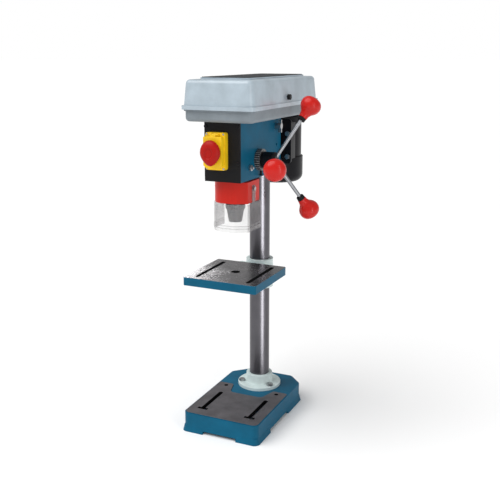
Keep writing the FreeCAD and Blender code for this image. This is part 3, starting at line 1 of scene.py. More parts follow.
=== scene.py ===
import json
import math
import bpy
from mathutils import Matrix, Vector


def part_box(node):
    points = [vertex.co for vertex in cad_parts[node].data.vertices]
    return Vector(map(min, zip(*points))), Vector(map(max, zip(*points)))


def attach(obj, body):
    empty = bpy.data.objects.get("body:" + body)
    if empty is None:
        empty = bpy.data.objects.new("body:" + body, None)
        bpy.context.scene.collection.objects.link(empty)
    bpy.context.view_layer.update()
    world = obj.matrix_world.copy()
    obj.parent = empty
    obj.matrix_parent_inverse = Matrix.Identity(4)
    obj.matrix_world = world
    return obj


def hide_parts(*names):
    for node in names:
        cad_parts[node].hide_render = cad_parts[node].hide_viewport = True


bl_info = {
    "name": "Bench Drill Press",
    "version": (1, 0, 0),
    "blender": (4, 5, 0),
    "location": "View3D > Sidebar > Drill Press",
    "description": "Builds the finished look of a bench drill press round its fixed frame",
    "category": "Object",
}

import bpy
from bpy.props import FloatProperty, FloatVectorProperty, IntProperty, PointerProperty
from mathutils import Matrix, Vector

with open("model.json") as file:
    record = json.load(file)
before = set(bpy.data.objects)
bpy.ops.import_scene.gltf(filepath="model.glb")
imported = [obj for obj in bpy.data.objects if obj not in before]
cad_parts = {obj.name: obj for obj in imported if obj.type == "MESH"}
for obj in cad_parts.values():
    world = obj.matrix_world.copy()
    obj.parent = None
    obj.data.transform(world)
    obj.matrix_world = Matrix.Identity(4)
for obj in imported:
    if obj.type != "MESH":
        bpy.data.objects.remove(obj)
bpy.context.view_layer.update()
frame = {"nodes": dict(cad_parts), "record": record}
NODES = frame["nodes"]
BODY_OF = {
    node: body
    for body, nodes in frame["record"]["behaviour"]["bodies"].items()
    for node in nodes
}
SLOT_OF = {row["node"]: row["material_slot"] for row in frame["record"]["subparts"]}
MM = 0.001
HUB_APEX = 75 * MM        # where the spokes' centre lines meet, along X
SPOKE_OUT = 55.7 * MM     # how far a spoke's end leans out along X
SPOKE_REACH = 127 * MM    # how far it reaches from the feed shaft's axis
SPOKE_ANGLES = (60, 180, 300)
KNOB_PAST = 19.5 * MM     # how far a knob goes past its spoke's end
FERRULE_SHOWS = 7.4 * MM  # how much of a ferrule shows under its knob
MILLED_SKIN = 1 * MM      # how far below its top a casting is still bare
SKY = 0.42                # how bright the room round the object is
AIM_HEIGHT = 0.36         # the height that the lamps above and behind point at
CAMERA_PLACE = (0.7056, -1.5948, 0.8098)
CAMERA_DIP = 12           # degrees that the camera looks down
CAMERA_TURN = 24.6        # degrees that it is turned round Z


# ---- sizes and colours that a user would change ----


class DrillPressSizes(bpy.types.PropertyGroup):
    edge_round: FloatProperty(
        name="Edge rounding", description="Rounding on the castings' edges",
        default=0.0011, min=0.0001, max=0.004, unit="LENGTH")
    sheet_round: FloatProperty(
        name="Sheet edge rounding", description="Rounding on the edges of pressed and moulded parts",
        default=0.0007, min=0.0001, max=0.002, unit="LENGTH")
    fine_round: FloatProperty(
        name="Fine edge rounding", description="Rounding on the edges of turned and small parts",
        default=0.0004, min=0.0001, max=0.001, unit="LENGTH")
    knurl_count: IntProperty(
        name="Sleeve ridges", description="Ridges round the chuck's sleeve", default=36, min=12, max=72)
    scale_ticks: IntProperty(
        name="Scale ticks", description="Marks round the depth ring", default=30, min=10, max=60)


class DrillPressColours(bpy.types.PropertyGroup):
    enamel: FloatVectorProperty(
        name="Enamel", description="Paint on the castings", subtype="COLOR",
        default=(0.004, 0.100, 0.182), min=0.0, max=1.0)
    cream: FloatVectorProperty(
        name="Cream enamel", description="Paint on the column's flange", subtype="COLOR",
        default=(0.64, 0.74, 0.73), min=0.0, max=1.0)
    case_grey: FloatVectorProperty(
        name="Belt case", description="Paint on the belt tray and its lid", subtype="COLOR",
        default=(0.42, 0.50, 0.56), min=0.0, max=1.0)
    signal_red: FloatVectorProperty(
        name="Signal red", description="Plastic of the knobs and the guard", subtype="COLOR",
        default=(0.56, 0.012, 0.008), min=0.0, max=1.0)
    signal_yellow: FloatVectorProperty(
        name="Signal yellow", description="Plastic of the switch box", subtype="COLOR",
        default=(0.93, 0.60, 0.012), min=0.0, max=1.0)


def sizes():
    return bpy.context.scene.drill_press_sizes


def colours():
    return bpy.context.scene.drill_press_colours


def middle_of(node):
    low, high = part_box(node)
    return (low + high) / 2


# ---- finishes ----


def new_finish(name, colour, metallic, roughness):
    finish = bpy.data.materials.new(name)
    finish.use_nodes = True
    shader = finish.node_tree.nodes["Principled BSDF"]
    shader.inputs["Base Color"].default_value = (*colour, 1)
    shader.inputs["Metallic"].default_value = metallic
    shader.inputs["Roughness"].default_value = roughness
    finish.diffuse_color = (*colour, 1)
    return finish, finish.node_tree, shader


def add(tree, kind, values=None, **links):
    """A shader node with its own values, and links named by their input sockets, or _0, _1 by number."""
    made = tree.nodes.new("ShaderNode" + kind)
    for key, setting in (values or {}).items():
        if isinstance(key, int) or key in made.inputs:
            made.inputs[key].default_value = setting
        else:
            setattr(made, key, setting)
    for key, socket in links.items():
        tree.links.new(socket, made.inputs[int(key[1:]) if key[0] == "_" else key])
    return made


def place_on(tree, stretch=(1, 1, 1), shift=(0, 0, 0)):
    where = add(tree, "TexCoord").outputs["Object"]
    return add(tree, "Mapping", {"Scale": stretch, "Location": shift}, Vector=where).outputs["Vector"]


def noise(tree, where, scale, detail=3, rough=0.55):
    return add(tree, "TexNoise", {"Scale": scale, "Detail": detail, "Roughness": rough},
               Vector=where).outputs["Fac"]


def between(tree, fac, low, high):
    return add(tree, "MapRange", {"To Min": low, "To Max": high}, Value=fac).outputs["Result"]


def tint(tree, fac, colour, spread):
    """The colour a little darker and a little lighter, by fac."""
    ramp = add(tree, "ValToRGB", Fac=fac)
    dark, light = ramp.color_ramp.elements
    dark.position, light.position = 0.3, 0.7
    dark.color = (*[c * (1 - spread) for c in colour], 1)
    light.color = (*[min(1, c * (1 + spread)) for c in colour], 1)
    return ramp.outputs["Color"]


def plug(tree, socket, value):
    """Links another node's socket to this one, or sets a plain value on it."""
    if isinstance(value, bpy.types.NodeSocket):
        tree.links.new(value, socket)
    else:
        socket.default_value = value


def mix(tree, fac, first, second):
    made = tree.nodes.new("ShaderNodeMix")
    made.data_type = "RGBA"
    for index, value in ((0, fac), (6, first), (7, second)):
        plug(tree, made.inputs[index], value)
    return made.outputs[2]


def math_node(tree, operation, first, second=0.0):
    made = tree.nodes.new("ShaderNodeMath")
    made.operation = operation
    plug(tree, made.inputs[0], first)
    plug(tree, made.inputs[1], second)
    return made.outputs[0]


def inside(tree, point, low, high):
    """1 where the point lies in the box between two corners, else 0."""
    middle = (Vector(low) + Vector(high)) / 2
    half = (Vector(high) - Vector(low)) / 2
    offset = add(tree, "VectorMath", {"operation": "SUBTRACT", 1: middle}, _0=point).outputs[0]
    share = add(tree, "VectorMath", {"operation": "DIVIDE", 1: half}, _0=offset).outputs[0]
    away = add(tree, "VectorMath", {"operation": "ABSOLUTE"}, _0=share).outputs[0]
    x, y, z = add(tree, "SeparateXYZ", Vector=away).outputs
    furthest = math_node(tree, "MAXIMUM", math_node(tree, "MAXIMUM", x, y), z)
    return math_node(tree, "LESS_THAN", furthest, 1.0)


def relief(tree, shader, height, depth, strength=1.0, below=None):
    bump = add(tree, "Bump", {"Strength": strength, "Distance": depth}, Height=height)
    if below is not None:
        tree.links.new(below, bump.inputs["Normal"])
    tree.links.new(bump.outputs["Normal"], shader.inputs["Normal"])


def enamel_finish(name, colour, roughness=0.40, ripple=260, depth=0.00012, gloss=0.11, coat=0.0):
    """Sprayed enamel over a casting: slow shade changes, and the casting's skin under the gloss."""
    finish, tree, shader = new_finish(name, colour, 0, roughness)
    shader.inputs["Specular IOR Level"].default_value = gloss
    where = place_on(tree)
    cloud = noise(tree, where, 22, 4)
    tree.links.new(tint(tree, cloud, colour, 0.13), shader.inputs["Base Color"])
    tree.links.new(between(tree, cloud, roughness - 0.07, roughness + 0.09), shader.inputs["Roughness"])
    relief(tree, shader, noise(tree, where, ripple, 4, 0.6), depth)
    shader.inputs["Coat Weight"].default_value = coat
    shader.inputs["Coat Roughness"].default_value = 0.18
    return finish


def milled_finish(name, colour, enamel, node, wells, roughness, rings_at=None):
    """Enamel with a bare machined top face, and painted shade: the steep walls of the slots inside the box
    of wells are painted near black.
    """
    finish = enamel_finish(name, enamel)
    tree = finish.node_tree
    shader = tree.nodes["Principled BSDF"]
    paint = shader.inputs["Base Color"].links[0].from_socket
    paint_rough = shader.inputs["Roughness"].links[0].from_socket
    paint_bump = shader.inputs["Normal"].links[0].from_socket
    coordinates = add(tree, "TexCoord")
    point = coordinates.outputs["Object"]
    height = add(tree, "SeparateXYZ", Vector=point).outputs["Z"]
    facing = add(tree, "SeparateXYZ", Vector=coordinates.outputs["Normal"]).outputs["Z"]
    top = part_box(node)[1].z
    bare = math_node(tree, "MULTIPLY", math_node(tree, "GREATER_THAN", height, top - MILLED_SKIN),
                     math_node(tree, "GREATER_THAN", facing, 0.30))
    steep = math_node(tree, "LESS_THAN", math_node(tree, "ABSOLUTE", facing), 0.6)
    # painted shade: a mask of the steep walls inside the box of wells, which stand in the shade of the
    # cavity below
    slot_walls_painted_shade = math_node(tree, "MULTIPLY", inside(tree, point, *wells), steep)
    if rings_at:
        lines = add(tree, "TexWave", {
            "wave_type": "RINGS", "rings_direction": "Z", "Scale": 420, "Distortion": 1.5,
            "Detail": 2, "Detail Scale": 2},
            Vector=place_on(tree, shift=(-rings_at[0], -rings_at[1], 0))).outputs["Fac"]
    else:
        lines = noise(tree, place_on(tree, (1400, 16, 16)), 1, 3)
    stain = noise(tree, place_on(tree), 34, 5, 0.65)
    metal = tint(tree, stain, colour, 0.22)
    wear = mix(tree, between(tree, lines, 0, 0.35), metal, (*[c * 0.55 for c in colour], 1))
    surface = mix(tree, bare, paint, wear)
    # painted shade: the slot walls are painted near black, and made rough below
    tree.links.new(mix(tree, slot_walls_painted_shade, surface, (0.004, 0.004, 0.005, 1)), shader.inputs["Base Color"])
    tree.links.new(bare, shader.inputs["Metallic"])
    chosen = add(tree, "Mix", {"data_type": "FLOAT"})
    rough = between(tree, stain, roughness - 0.07, roughness + 0.1)
    for index, source in ((0, bare), (2, paint_rough), (3, rough)):
        tree.links.new(source, chosen.inputs[index])
    tree.links.new(math_node(tree, "MAXIMUM", chosen.outputs[0], slot_walls_painted_shade), shader.inputs["Roughness"])
    relief(tree, shader, math_node(tree, "MULTIPLY", lines, bare), 0.00006, 0.5, paint_bump)
    return finish


def scale_finish(name, node, ticks):
    """Black ring with light marks at even angles round its own axis, which runs along X."""
    black = (0.02, 0.02, 0.022)
    mark_share = 0.16    # how much of each step round the ring is its mark
    mark_long = 4 * MM
    finish, tree, shader = new_finish(name, black, 0, 0.35)
    low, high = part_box(node)
    offset = add(tree, "VectorMath", {"operation": "SUBTRACT", 1: middle_of(node)},
                 _0=add(tree, "TexCoord").outputs["Object"]).outputs[0]
    _, y, z = add(tree, "SeparateXYZ", Vector=offset).outputs
    angle = math_node(tree, "MULTIPLY", math_node(tree, "ARCTAN2", z, y), ticks / (2 * math.pi))
    mark = math_node(tree, "LESS_THAN", math_node(tree, "FRACT", angle), mark_share)
    across = add(tree, "CombineXYZ", Y=y, Z=z).outputs[0]
    radius = add(tree, "VectorMath", {"operation": "LENGTH"}, _0=across).outputs["Value"]
    outer = math_node(tree, "GREATER_THAN", radius, (high.z - low.z) / 2 - mark_long)
    cloud = noise(tree, place_on(tree), 60, 3)
    shade = tint(tree, cloud, black, 0.25)
    tree.links.new(mix(tree, math_node(tree, "MULTIPLY", mark, outer), shade, (0.42, 0.42, 0.43, 1)),
                   shader.inputs["Base Color"])
    tree.links.new(between(tree, cloud, 0.3, 0.45), shader.inputs["Roughness"])
    relief(tree, shader, noise(tree, place_on(tree), 700, 2), 0.00003)
    return finish


def ground_finish(name, colour, roughness, stretch, depth=0.00002, spread=0.14, strength=0.6):
    """Ground or turned steel: fine lines along the directions where stretch is small."""
    finish, tree, shader = new_finish(name, colour, 1, roughness)
    lines = noise(tree, place_on(tree, stretch), 1, 4, 0.6)
    cloud = noise(tree, place_on(tree), 26, 3)
    tree.links.new(mix(tree, between(tree, lines, 0, 0.5), tint(tree, cloud, colour, spread),
                       (*[c * 0.7 for c in colour], 1)), shader.inputs["Base Color"])
    tree.links.new(between(tree, cloud, roughness - 0.06, roughness + 0.08), shader.inputs["Roughness"])
    relief(tree, shader, lines, depth, strength)
    return finish


def moulded_finish(name, colour, roughness, grain=900, depth=0.00005, spread=0.06, coat=0.0, gloss=0.25):
    """Moulded plastic or rubber: even colour with a fine grain in the surface."""
    finish, tree, shader = new_finish(name, colour, 0, roughness)
    shader.inputs["Specular IOR Level"].default_value = gloss
    where = place_on(tree)
    cloud = noise(tree, where, 30, 3)
    tree.links.new(tint(tree, cloud, colour, spread), shader.inputs["Base Color"])
    tree.links.new(between(tree, cloud, roughness - 0.04, roughness + 0.06), shader.inputs["Roughness"])
    relief(tree, shader, noise(tree, where, grain, 2, 0.5), depth)
    shader.inputs["Coat Weight"].default_value = coat
    return finish


def clear_finish(name, shade, film):
    """Clear plastic, hazed and scuffed from use, with painted shade: the walls that face sideways are
    painted greyer and less clear.
    """
    finish, tree, shader = new_finish(name, (shade, shade, shade), 0, 0.12)
    where = place_on(tree)
    scuffs = noise(tree, place_on(tree, (420, 420, 60)), 1, 4, 0.7)
    haze = noise(tree, where, 42, 4)
    # painted shade: walls facing along X are painted greyer and made less clear
    facing = add(tree, "SeparateXYZ", Vector=add(tree, "TexCoord").outputs["Normal"]).outputs["X"]
    painted_side_shade = add(tree, "MapRange", {"From Min": 0.35, "From Max": 0.85},
               Value=math_node(tree, "ABSOLUTE", facing)).outputs["Result"]
    pale = tint(tree, scuffs, (shade, shade * 0.985, shade * 0.985), 0.12)
    tree.links.new(mix(tree, painted_side_shade, pale, tint(tree, scuffs, (0.25, 0.235, 0.24), 0.5)),
                   shader.inputs["Base Color"])
    cover = math_node(tree, "ADD", between(tree, haze, film, film + 0.10),
                      math_node(tree, "MULTIPLY", painted_side_shade, 0.24))
    tree.links.new(cover, shader.inputs["Alpha"])
    tree.links.new(between(tree, haze, 0.08, 0.22), shader.inputs["Roughness"])
    relief(tree, shader, noise(tree, where, 60, 2), 0.0002, 0.35)
    shader.inputs["IOR"].default_value = 1.49
    return finish


FINISHES = {}


def mix_finishes():
    tone = colours()
    petrol = tuple(tone.enamel)
    red = tuple(tone.signal_red)
    case_grey = tuple(tone.case_grey)
    worn = tuple(min(1, c * 1.2 + 0.012) for c in petrol)
    # painted shade: the tray takes the case grey made darker, as shade on the tray's inward-sloping walls
    tray_shaded_grey = tuple(c * 0.42 + 0.055 for c in case_grey)
    black, steel, cast = (0.007, 0.007, 0.009), (0.46, 0.46, 0.47), (0.215, 0.205, 0.218)
    # each box holds its casting's slots, as its two far corners
    base_wells = ((-0.080, -0.200, 0.006), (0.080, -0.040, 0.060))
    table_wells = ((-0.076, -0.203, 0.330), (0.076, -0.052, 0.352))
    table_centre = (0.0, -0.128)
    FINISHES.update({
        "blue_paint": enamel_finish("Petrol enamel", petrol, gloss=0.06),
        "worn_edge": enamel_finish("Petrol enamel at edges", worn, 0.42),
        "base_top": milled_finish("Base, milled pad", cast, petrol, "base_casting", base_wells, 0.52),
        "table_face": milled_finish("Table, turned face", (0.22, 0.21, 0.22), petrol, "table_top",
                                    table_wells, 0.25, table_centre),
        "cream_paint": enamel_finish("Cream enamel", tuple(tone.cream), 0.38, gloss=0.4),
        "column_steel": ground_finish("Ground column", (0.120, 0.117, 0.128), 0.29, (9, 9, 1500), 0.00008,
                                      strength=1.0),
        "bright_steel": ground_finish("Bright steel", steel, 0.28, (300, 300, 900)),
        "rod_steel": ground_finish("Polished rod", (0.36, 0.37, 0.39), 0.30, (20, 20, 20), 0.000003, 0.06),
        "spring_steel": ground_finish("Blued spring", (0.10, 0.12, 0.17), 0.3, (80, 900, 900)),
        "chuck_steel": ground_finish("Chuck steel", (0.075, 0.077, 0.085), 0.27, (40, 40, 1300)),
        "black_paint": enamel_finish("Black enamel", black, 0.34, 420, gloss=0.15),
        "black_plastic": moulded_finish("Black plastic", (0.010, 0.010, 0.011), 0.46, gloss=0.12),
        "yellow_plastic": moulded_finish("Yellow plastic", tuple(tone.signal_yellow), 0.34, 700, coat=0.1),
        "red_plastic": moulded_finish("Red plastic", red, 0.27, 260, 0.00003, coat=0.08),
        "paddle_plastic": moulded_finish("Paddle plastic", tuple(c * 0.72 for c in red), 0.38, 300, 0.00003,
                                         gloss=0.15),
        "guard_plastic": moulded_finish("Guard plastic", (red[0], red[1] * 1.3, red[2]), 0.38, 500,
                                        gloss=0.2),
        "green_plastic": moulded_finish("Green plastic", (0.02, 0.30, 0.07), 0.32, 500, coat=0.2),
        "clear_plastic": clear_finish("Clear shield", 0.66, 0.09),
        # painted shade: the ribs' finish is darker and less clear than the shield's
        "clear_rib": clear_finish("Clear shield, ribs", 0.36, 0.42),
        "scale_metal": scale_finish("Scale ring", "depth_scale_ring", sizes().scale_ticks),
        "pulley_alloy": ground_finish("Turned alloy", (0.62, 0.63, 0.65), 0.27, (50, 50, 1200)),
        "belt_rubber": moulded_finish("Belt rubber", (0.018, 0.018, 0.018), 0.74, 1400, 0.00012, 0.2),
        "grey_paint": enamel_finish("Grey case paint", case_grey, 0.30, 90, 0.00005, 0.5, 0.25),
        "tray_paint": enamel_finish("Grey tray paint", tray_shaded_grey, 0.40, 90, 0.00005),
        "lid_film": moulded_finish("Dark lid film", (0.030, 0.032, 0.035), 0.5, 1100, gloss=0.1),
    })


# ---- work on pieces ----


def select_nothing():
    if bpy.context.object and bpy.context.object.mode != "OBJECT":
        bpy.ops.object.mode_set(mode="OBJECT")
    bpy.ops.object.select_all(action="DESELECT")


def select_only(piece):
    select_nothing()
    piece.select_set(True)
    bpy.context.view_layer.objects.active = piece


def apply(piece, kind, **settings):
    """Adds one modifier and applies it."""
    select_only(piece)
    modifier = piece.modifiers.new(kind.title(), kind)
    for key, setting in settings.items():
        setattr(modifier, key, setting)
    bpy.ops.object.modifier_apply(modifier=modifier.name)


def give(piece, body, slot, finish, *replaced):
    """Gives the piece its finish, attaches it to the body it rides on and hides the nodes it replaces."""
    piece.data.materials.clear()
    piece.data.materials.append(FINISHES[finish])
    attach(piece, body)
    if replaced:
        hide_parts(*replaced)
    return piece


def soften(node, width, finish=None, edge=None):
    """A copy of a node with its edges rounded, which stands for the node."""
    piece = NODES[node].copy()
    piece.data = NODES[node].data.copy()
    for key in list(piece.keys()):
        del piece[key]
    piece.parent = None
    piece.name = node + "_finished"
    piece.data.name = piece.name
    bpy.context.scene.collection.objects.link(piece)
    select_only(piece)
    if piece.data.has_custom_normals:
        bpy.ops.mesh.customdata_custom_splitnormals_clear()
    bpy.ops.object.mode_set(mode="EDIT")
    bpy.ops.mesh.select_all(action="SELECT")
    bpy.ops.mesh.remove_doubles(threshold=0.000004)
    bpy.ops.mesh.dissolve_limited(angle_limit=math.radians(0.6))
    bpy.ops.object.mode_set(mode="OBJECT")
    bpy.ops.object.shade_smooth()
    piece.data.materials.clear()
    slot = SLOT_OF[node]
    piece.data.materials.append(FINISHES[finish or slot])
    if edge:
        piece.data.materials.append(FINISHES[edge])
    apply(piece, "BEVEL", width=width, segments=2, limit_method="ANGLE",
          angle_limit=math.radians(32), harden_normals=True, use_clamp_overlap=True,
          material=1 if edge else -1)
    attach(piece, BODY_OF[node])
    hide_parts(node)
    return piece


def finish_node(node, finish=None):
    """Keeps a node's own shape and gives it a finish."""
    piece = NODES[node]
    piece.data.materials.clear()
    piece.data.materials.append(FINISHES[finish or SLOT_OF[node]])


def aim(direction):
    return Vector(direction).to_track_quat("Z", "Y").to_matrix().to_4x4()


def settle(piece, at, direction):
    """Puts a piece that was made round Z at its place, and keeps that place in its mesh."""
    select_only(piece)
    piece.matrix_world = Matrix.Translation(at) @ aim(direction)
    bpy.ops.object.transform_apply(location=True, rotation=True, scale=True)


def turn(name, rings, at=(0, 0, 0), direction=(0, 0, 1), sides=64):
    """A turned piece: a disc extruded ring after ring, each with its own radius and height, in metres."""
    select_nothing()
    radius, height = rings[0]
    bpy.ops.mesh.primitive_circle_add(vertices=sides, radius=radius, fill_type="NGON",
                                      location=(0, 0, height))
    piece = bpy.context.object
    piece.name = piece.data.name = name
    bpy.ops.object.mode_set(mode="EDIT")
    bpy.ops.mesh.select_all(action="SELECT")
    for next_radius, next_height in rings[1:]:
        bpy.ops.mesh.extrude_region_move(
            TRANSFORM_OT_translate={"value": (0, 0, next_height - height)})
        ratio = next_radius / radius
        bpy.ops.transform.resize(value=(ratio, ratio, 1), center_override=(0, 0, next_height))
        radius, height = next_radius, next_height
    bpy.ops.mesh.select_all(action="SELECT")
    bpy.ops.mesh.normals_make_consistent(inside=False)
    bpy.ops.object.mode_set(mode="OBJECT")
    settle(piece, at, direction)
    bpy.ops.object.shade_smooth_by_angle(angle=math.radians(35))
    return piece


def join(name, parts):
    select_only(parts[0])
    for part in parts[1:]:
        part.select_set(True)
    bpy.ops.object.join()
    parts[0].name = parts[0].data.name = name
    return parts[0]


# ---- pieces ----


class DRILLPRESS_OT_castings(bpy.types.Operator):
    """Base, table, bracket, head and flange with rounded, painted and milled surfaces"""
    bl_idname = "drillpress.castings"
    bl_label = "Castings"

    def execute(self, context):
        edge = sizes().edge_round
        soften("base_casting", edge, "base_top")
        soften("table_top", edge * 0.8, "table_face")
        soften("table_bracket", edge)
        soften("head_casting", edge, edge="worn_edge")
        soften("column_flange", edge)
        return {"FINISHED"}


class DRILLPRESS_OT_column(bpy.types.Operator):
    """The ground column tube"""
    bl_idname = "drillpress.column"
    bl_label = "Column"

    def execute(self, context):
        low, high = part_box("column_tube")
        radius = high.x
        bore = radius - 2.5 * MM
        rim = 1 * MM
        column = turn("column_ground", [
            (bore, low.z), (radius, low.z), (radius, high.z - rim), (radius - rim, high.z),
            (bore, high.z), (bore, low.z + rim)], sides=128)
        give(column, "frame", "column_steel", "column_steel", "column_tube")
        return {"FINISHED"}


class DRILLPRESS_OT_switch(bpy.types.Operator):
    """Front panel, switch box, flap, stop paddle and keys"""
    bl_idname = "drillpress.switch"
    bl_label = "Front panel and switch"

    def execute(self, context):
        sheet = sizes().sheet_round
        soften("front_panel", sheet * 1.6)
        soften("switch_housing", sheet)
        soften("switch_flap", sheet)
        soften("start_button", sizes().fine_round)
        soften("stop_button", sizes().fine_round)
        self.make_paddle()
        return {"FINISHED"}

    def make_paddle(self):
        """A domed paddle, dished in the middle and narrower towards its foot, on its stem."""
        low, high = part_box("stop_paddle")
        middle = middle_of("stop_paddle")
        wide, tall = high.x - low.x, high.z - low.z
        disc = 44 * MM       # how wide the dome is before it is stretched to the paddle's size
        narrowing = 0.30
        back = low.y + 14.5 * MM
        paddle = turn("stop_paddle_dome", [
            (0.0190, 0), (0.0208, 0.0008), (0.0218, 0.0028), (0.0220, 0.0052), (0.0213, 0.0080),
            (0.0196, 0.0106), (0.0168, 0.0128), (0.0130, 0.0141), (0.0104, 0.0145), (0.0096, 0.0143),
            (0.0090, 0.0135), (0.0082, 0.0127), (0.0070, 0.0125), (0.0040, 0.0127), (0.0012, 0.0128)],
            sides=96)
        bpy.ops.object.mode_set(mode="EDIT")
        bpy.ops.mesh.select_all(action="SELECT")
        bpy.ops.transform.resize(value=(wide / disc, tall / disc, 1), center_override=(0, 0, 0))
        bpy.ops.object.mode_set(mode="OBJECT")
        for corner in paddle.data.vertices:
            droop = max(0.0, -corner.co.y / (tall / 2))
            corner.co.x *= 1 - narrowing * droop ** 1.6
        settle(paddle, (middle.x, back, middle.z), (0, -1, 0))
        stem = turn("stop_paddle_stem", [(0.0070, 0), (0.0070, 0.0095), (0.0066, 0.0099)],
                    (middle.x, back - 0.0002, middle.z), (0, 1, 0), sides=48)
        give(join("stop_paddle_dome", [paddle, stem]), "paddle", "red_plastic", "paddle_plastic",
             "stop_paddle")


class DRILLPRESS_OT_spindle(bpy.types.Operator):
    """Quill, spindle and the three-jaw chuck"""
    bl_idname = "drillpress.spindle"
    bl_label = "Spindle and chuck"

    def execute(self, context):
        fine = sizes().fine_round
        for node in ("quill", "spindle", "chuck_body", "chuck_jaw_1", "chuck_jaw_2", "chuck_jaw_3"):
            soften(node, fine)
        finish_node("quill_bearings", "bright_steel")
        self.make_sleeve()
        return {"FINISHED"}

    def make_sleeve(self):
        """The chuck's sleeve, with a band of upright ridges raised round it."""
        low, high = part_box("chuck_sleeve")
        middle = middle_of("chuck_sleeve")
        tall = high.z - low.z
        outer = (high.x - low.x) / 2
        bore = 17.1 * MM
        ridge = 0.6 * MM                # how far the ridges stand out
        skin = outer - ridge
        end = outer - 2.2 * MM          # the radius of both ends
        band_low, band_top = 3.5 * MM, tall - 6 * MM
        sleeve = turn("chuck_sleeve_knurled", [
            (bore, 0), (end, 0), (skin, 1.2 * MM), (skin, band_low), (skin, band_top),
            (skin, tall - 2.8 * MM), (end, tall), (bore, tall), (bore, 1 * MM)],
            sides=sizes().knurl_count * 4)
        bpy.ops.object.mode_set(mode="EDIT")
        bpy.ops.mesh.select_all(action="DESELECT")
        bpy.ops.object.mode_set(mode="OBJECT")
        turn_step = 2 * math.pi / sizes().knurl_count
        for face in sleeve.data.polygons:
            centre = face.center
            share = (math.atan2(centre.y, centre.x) % turn_step) / turn_step
            in_band = band_low < centre.z < band_top
            outside = math.hypot(centre.x, centre.y) > (bore + outer) / 2
            face.select = in_band and outside and share < 0.5
        bpy.ops.object.mode_set(mode="EDIT")
        bpy.ops.mesh.select_mode(type="FACE")
        bpy.ops.mesh.extrude_region_shrink_fatten(TRANSFORM_OT_shrink_fatten={"value": ridge})
        bpy.ops.object.mode_set(mode="OBJECT")
        settle(sleeve, (middle.x, middle.y, low.z), (0, 0, 1))
        give(sleeve, "chuck_ring", "chuck_steel", "chuck_steel", "chuck_sleeve")


class DRILLPRESS_OT_guard(bpy.types.Operator):
    """The guard's ring and its clear shield"""
    bl_idname = "drillpress.guard"
    bl_label = "Chuck guard"

    def execute(self, context):
        soften("guard_frame", sizes().sheet_round, "guard_plastic")
        self.raise_ribs(soften("guard_shield", sizes().sheet_round * 0.5))
        soften("guard_clamp_screw", sizes().fine_round)
        soften("guard_pins", sizes().fine_round)
        return {"FINISHED"}

    def raise_ribs(self, shield):
        """Two shallow ribs round the shield's outside, just above its lower edge, painted darker and less
        clear as painted shade.
        """
        shield.data.materials.append(FINISHES["clear_rib"])
        bottom = min(corner.co.z for corner in shield.data.vertices)
        ribs = ((7.0 * MM, 8.8 * MM), (12.5 * MM, 14.3 * MM))    # each rib's edges above the bottom
        rib_rise = 0.6 * MM
        select_only(shield)
        bpy.ops.object.mode_set(mode="EDIT")
        for rise in ribs[0] + ribs[1]:
            bpy.ops.mesh.select_all(action="SELECT")
            bpy.ops.mesh.bisect(plane_co=(0, 0, bottom + rise), plane_no=(0, 0, 1))
        bpy.ops.mesh.select_mode(type="FACE")
        bpy.ops.mesh.select_all(action="DESELECT")
        bpy.ops.object.mode_set(mode="OBJECT")
        middle = middle_of("guard_shield")
        for face in shield.data.polygons:
            rise = face.center.z - bottom
            outward = face.center - middle
            outward.z = 0
            banded = any(lower < rise < upper for lower, upper in ribs)
            face.select = bool(banded and abs(face.normal.z) < 0.1 and face.normal.dot(outward) > 0.02)
            # painted shade: the rib faces take the darker, less clear rib finish
            face.material_index = int(face.select)
        bpy.ops.object.mode_set(mode="EDIT")
        bpy.ops.mesh.extrude_region_shrink_fatten(TRANSFORM_OT_shrink_fatten={"value": rib_rise})
        bpy.ops.object.mode_set(mode="OBJECT")


class DRILLPRESS_OT_feed(bpy.types.Operator):
    """Feed hub, spokes, knobs, depth ring and spring housing"""
    bl_idname = "drillpress.feed"
    bl_label = "Feed handles"

    def execute(self, context):
        fine = sizes().fine_round
        for node in ("feed_shaft", "spring_nut", "depth_lock_screw", "spring_housing", "depth_scale_ring"):
            soften(node, fine * 1.6)
        soften("feed_hub", fine * 2, "black_paint")
        soften("feed_rods", fine, "rod_steel")
        finish_node("return_spring")
        self.make_knobs()
        return {"FINISHED"}

    def make_knobs(self):
        """A waisted knob and its short black ferrule at the end of each spoke."""
        pivot = middle_of("depth_scale_ring")
        apex = Vector((HUB_APEX, pivot.y, pivot.z))
        ferrule = [(0.0074, 0), (0.0082, 0.0008), (0.0086, 0.0068), (0.0080, 0.0076)]
        knob = [
            (0.0084, 0), (0.0092, 0.0007), (0.0096, 0.0040), (0.0103, 0.0080), (0.0118, 0.0118),
            (0.0142, 0.0152), (0.0171, 0.0184), (0.0196, 0.0218), (0.0214, 0.0258), (0.0223, 0.0304),
            (0.0221, 0.0350), (0.0207, 0.0394), (0.0181, 0.0432), (0.0144, 0.0461), (0.0098, 0.0480),
            (0.0048, 0.0488), (0.0006, 0.0490)]
        knob_length = knob[-1][1]
        ferrules, knobs = [], []
        for angle in SPOKE_ANGLES:
            along = Vector((SPOKE_OUT, SPOKE_REACH * math.cos(math.radians(angle)),
                            SPOKE_REACH * math.sin(math.radians(angle))))
            direction = along.normalized()
            foot = along.length + KNOB_PAST - knob_length
            knobs.append(turn("knob", knob, apex + direction * foot, direction, 72))
            ferrules.append(turn("ferrule", ferrule, apex + direction * (foot - FERRULE_SHOWS),
                                 direction, 48))
        give(join("knobs_turned", knobs), "feed", "red_plastic", "red_plastic", "feed_knobs")
        give(join("ferrules_turned", ferrules), "feed", "black_plastic", "black_plastic",
             "knob_ferrules")


class DRILLPRESS_OT_motor(bpy.types.Operator):
    """Motor, its fan cover, plate and slide rods"""
    bl_idname = "drillpress.motor"
    bl_label = "Motor"

    def execute(self, context):
        for node in ("motor_body", "motor_fan_cover", "motor_plate"):
            soften(node, sizes().edge_round * 0.7)
        soften("motor_rods", sizes().fine_round, "rod_steel")
        return {"FINISHED"}


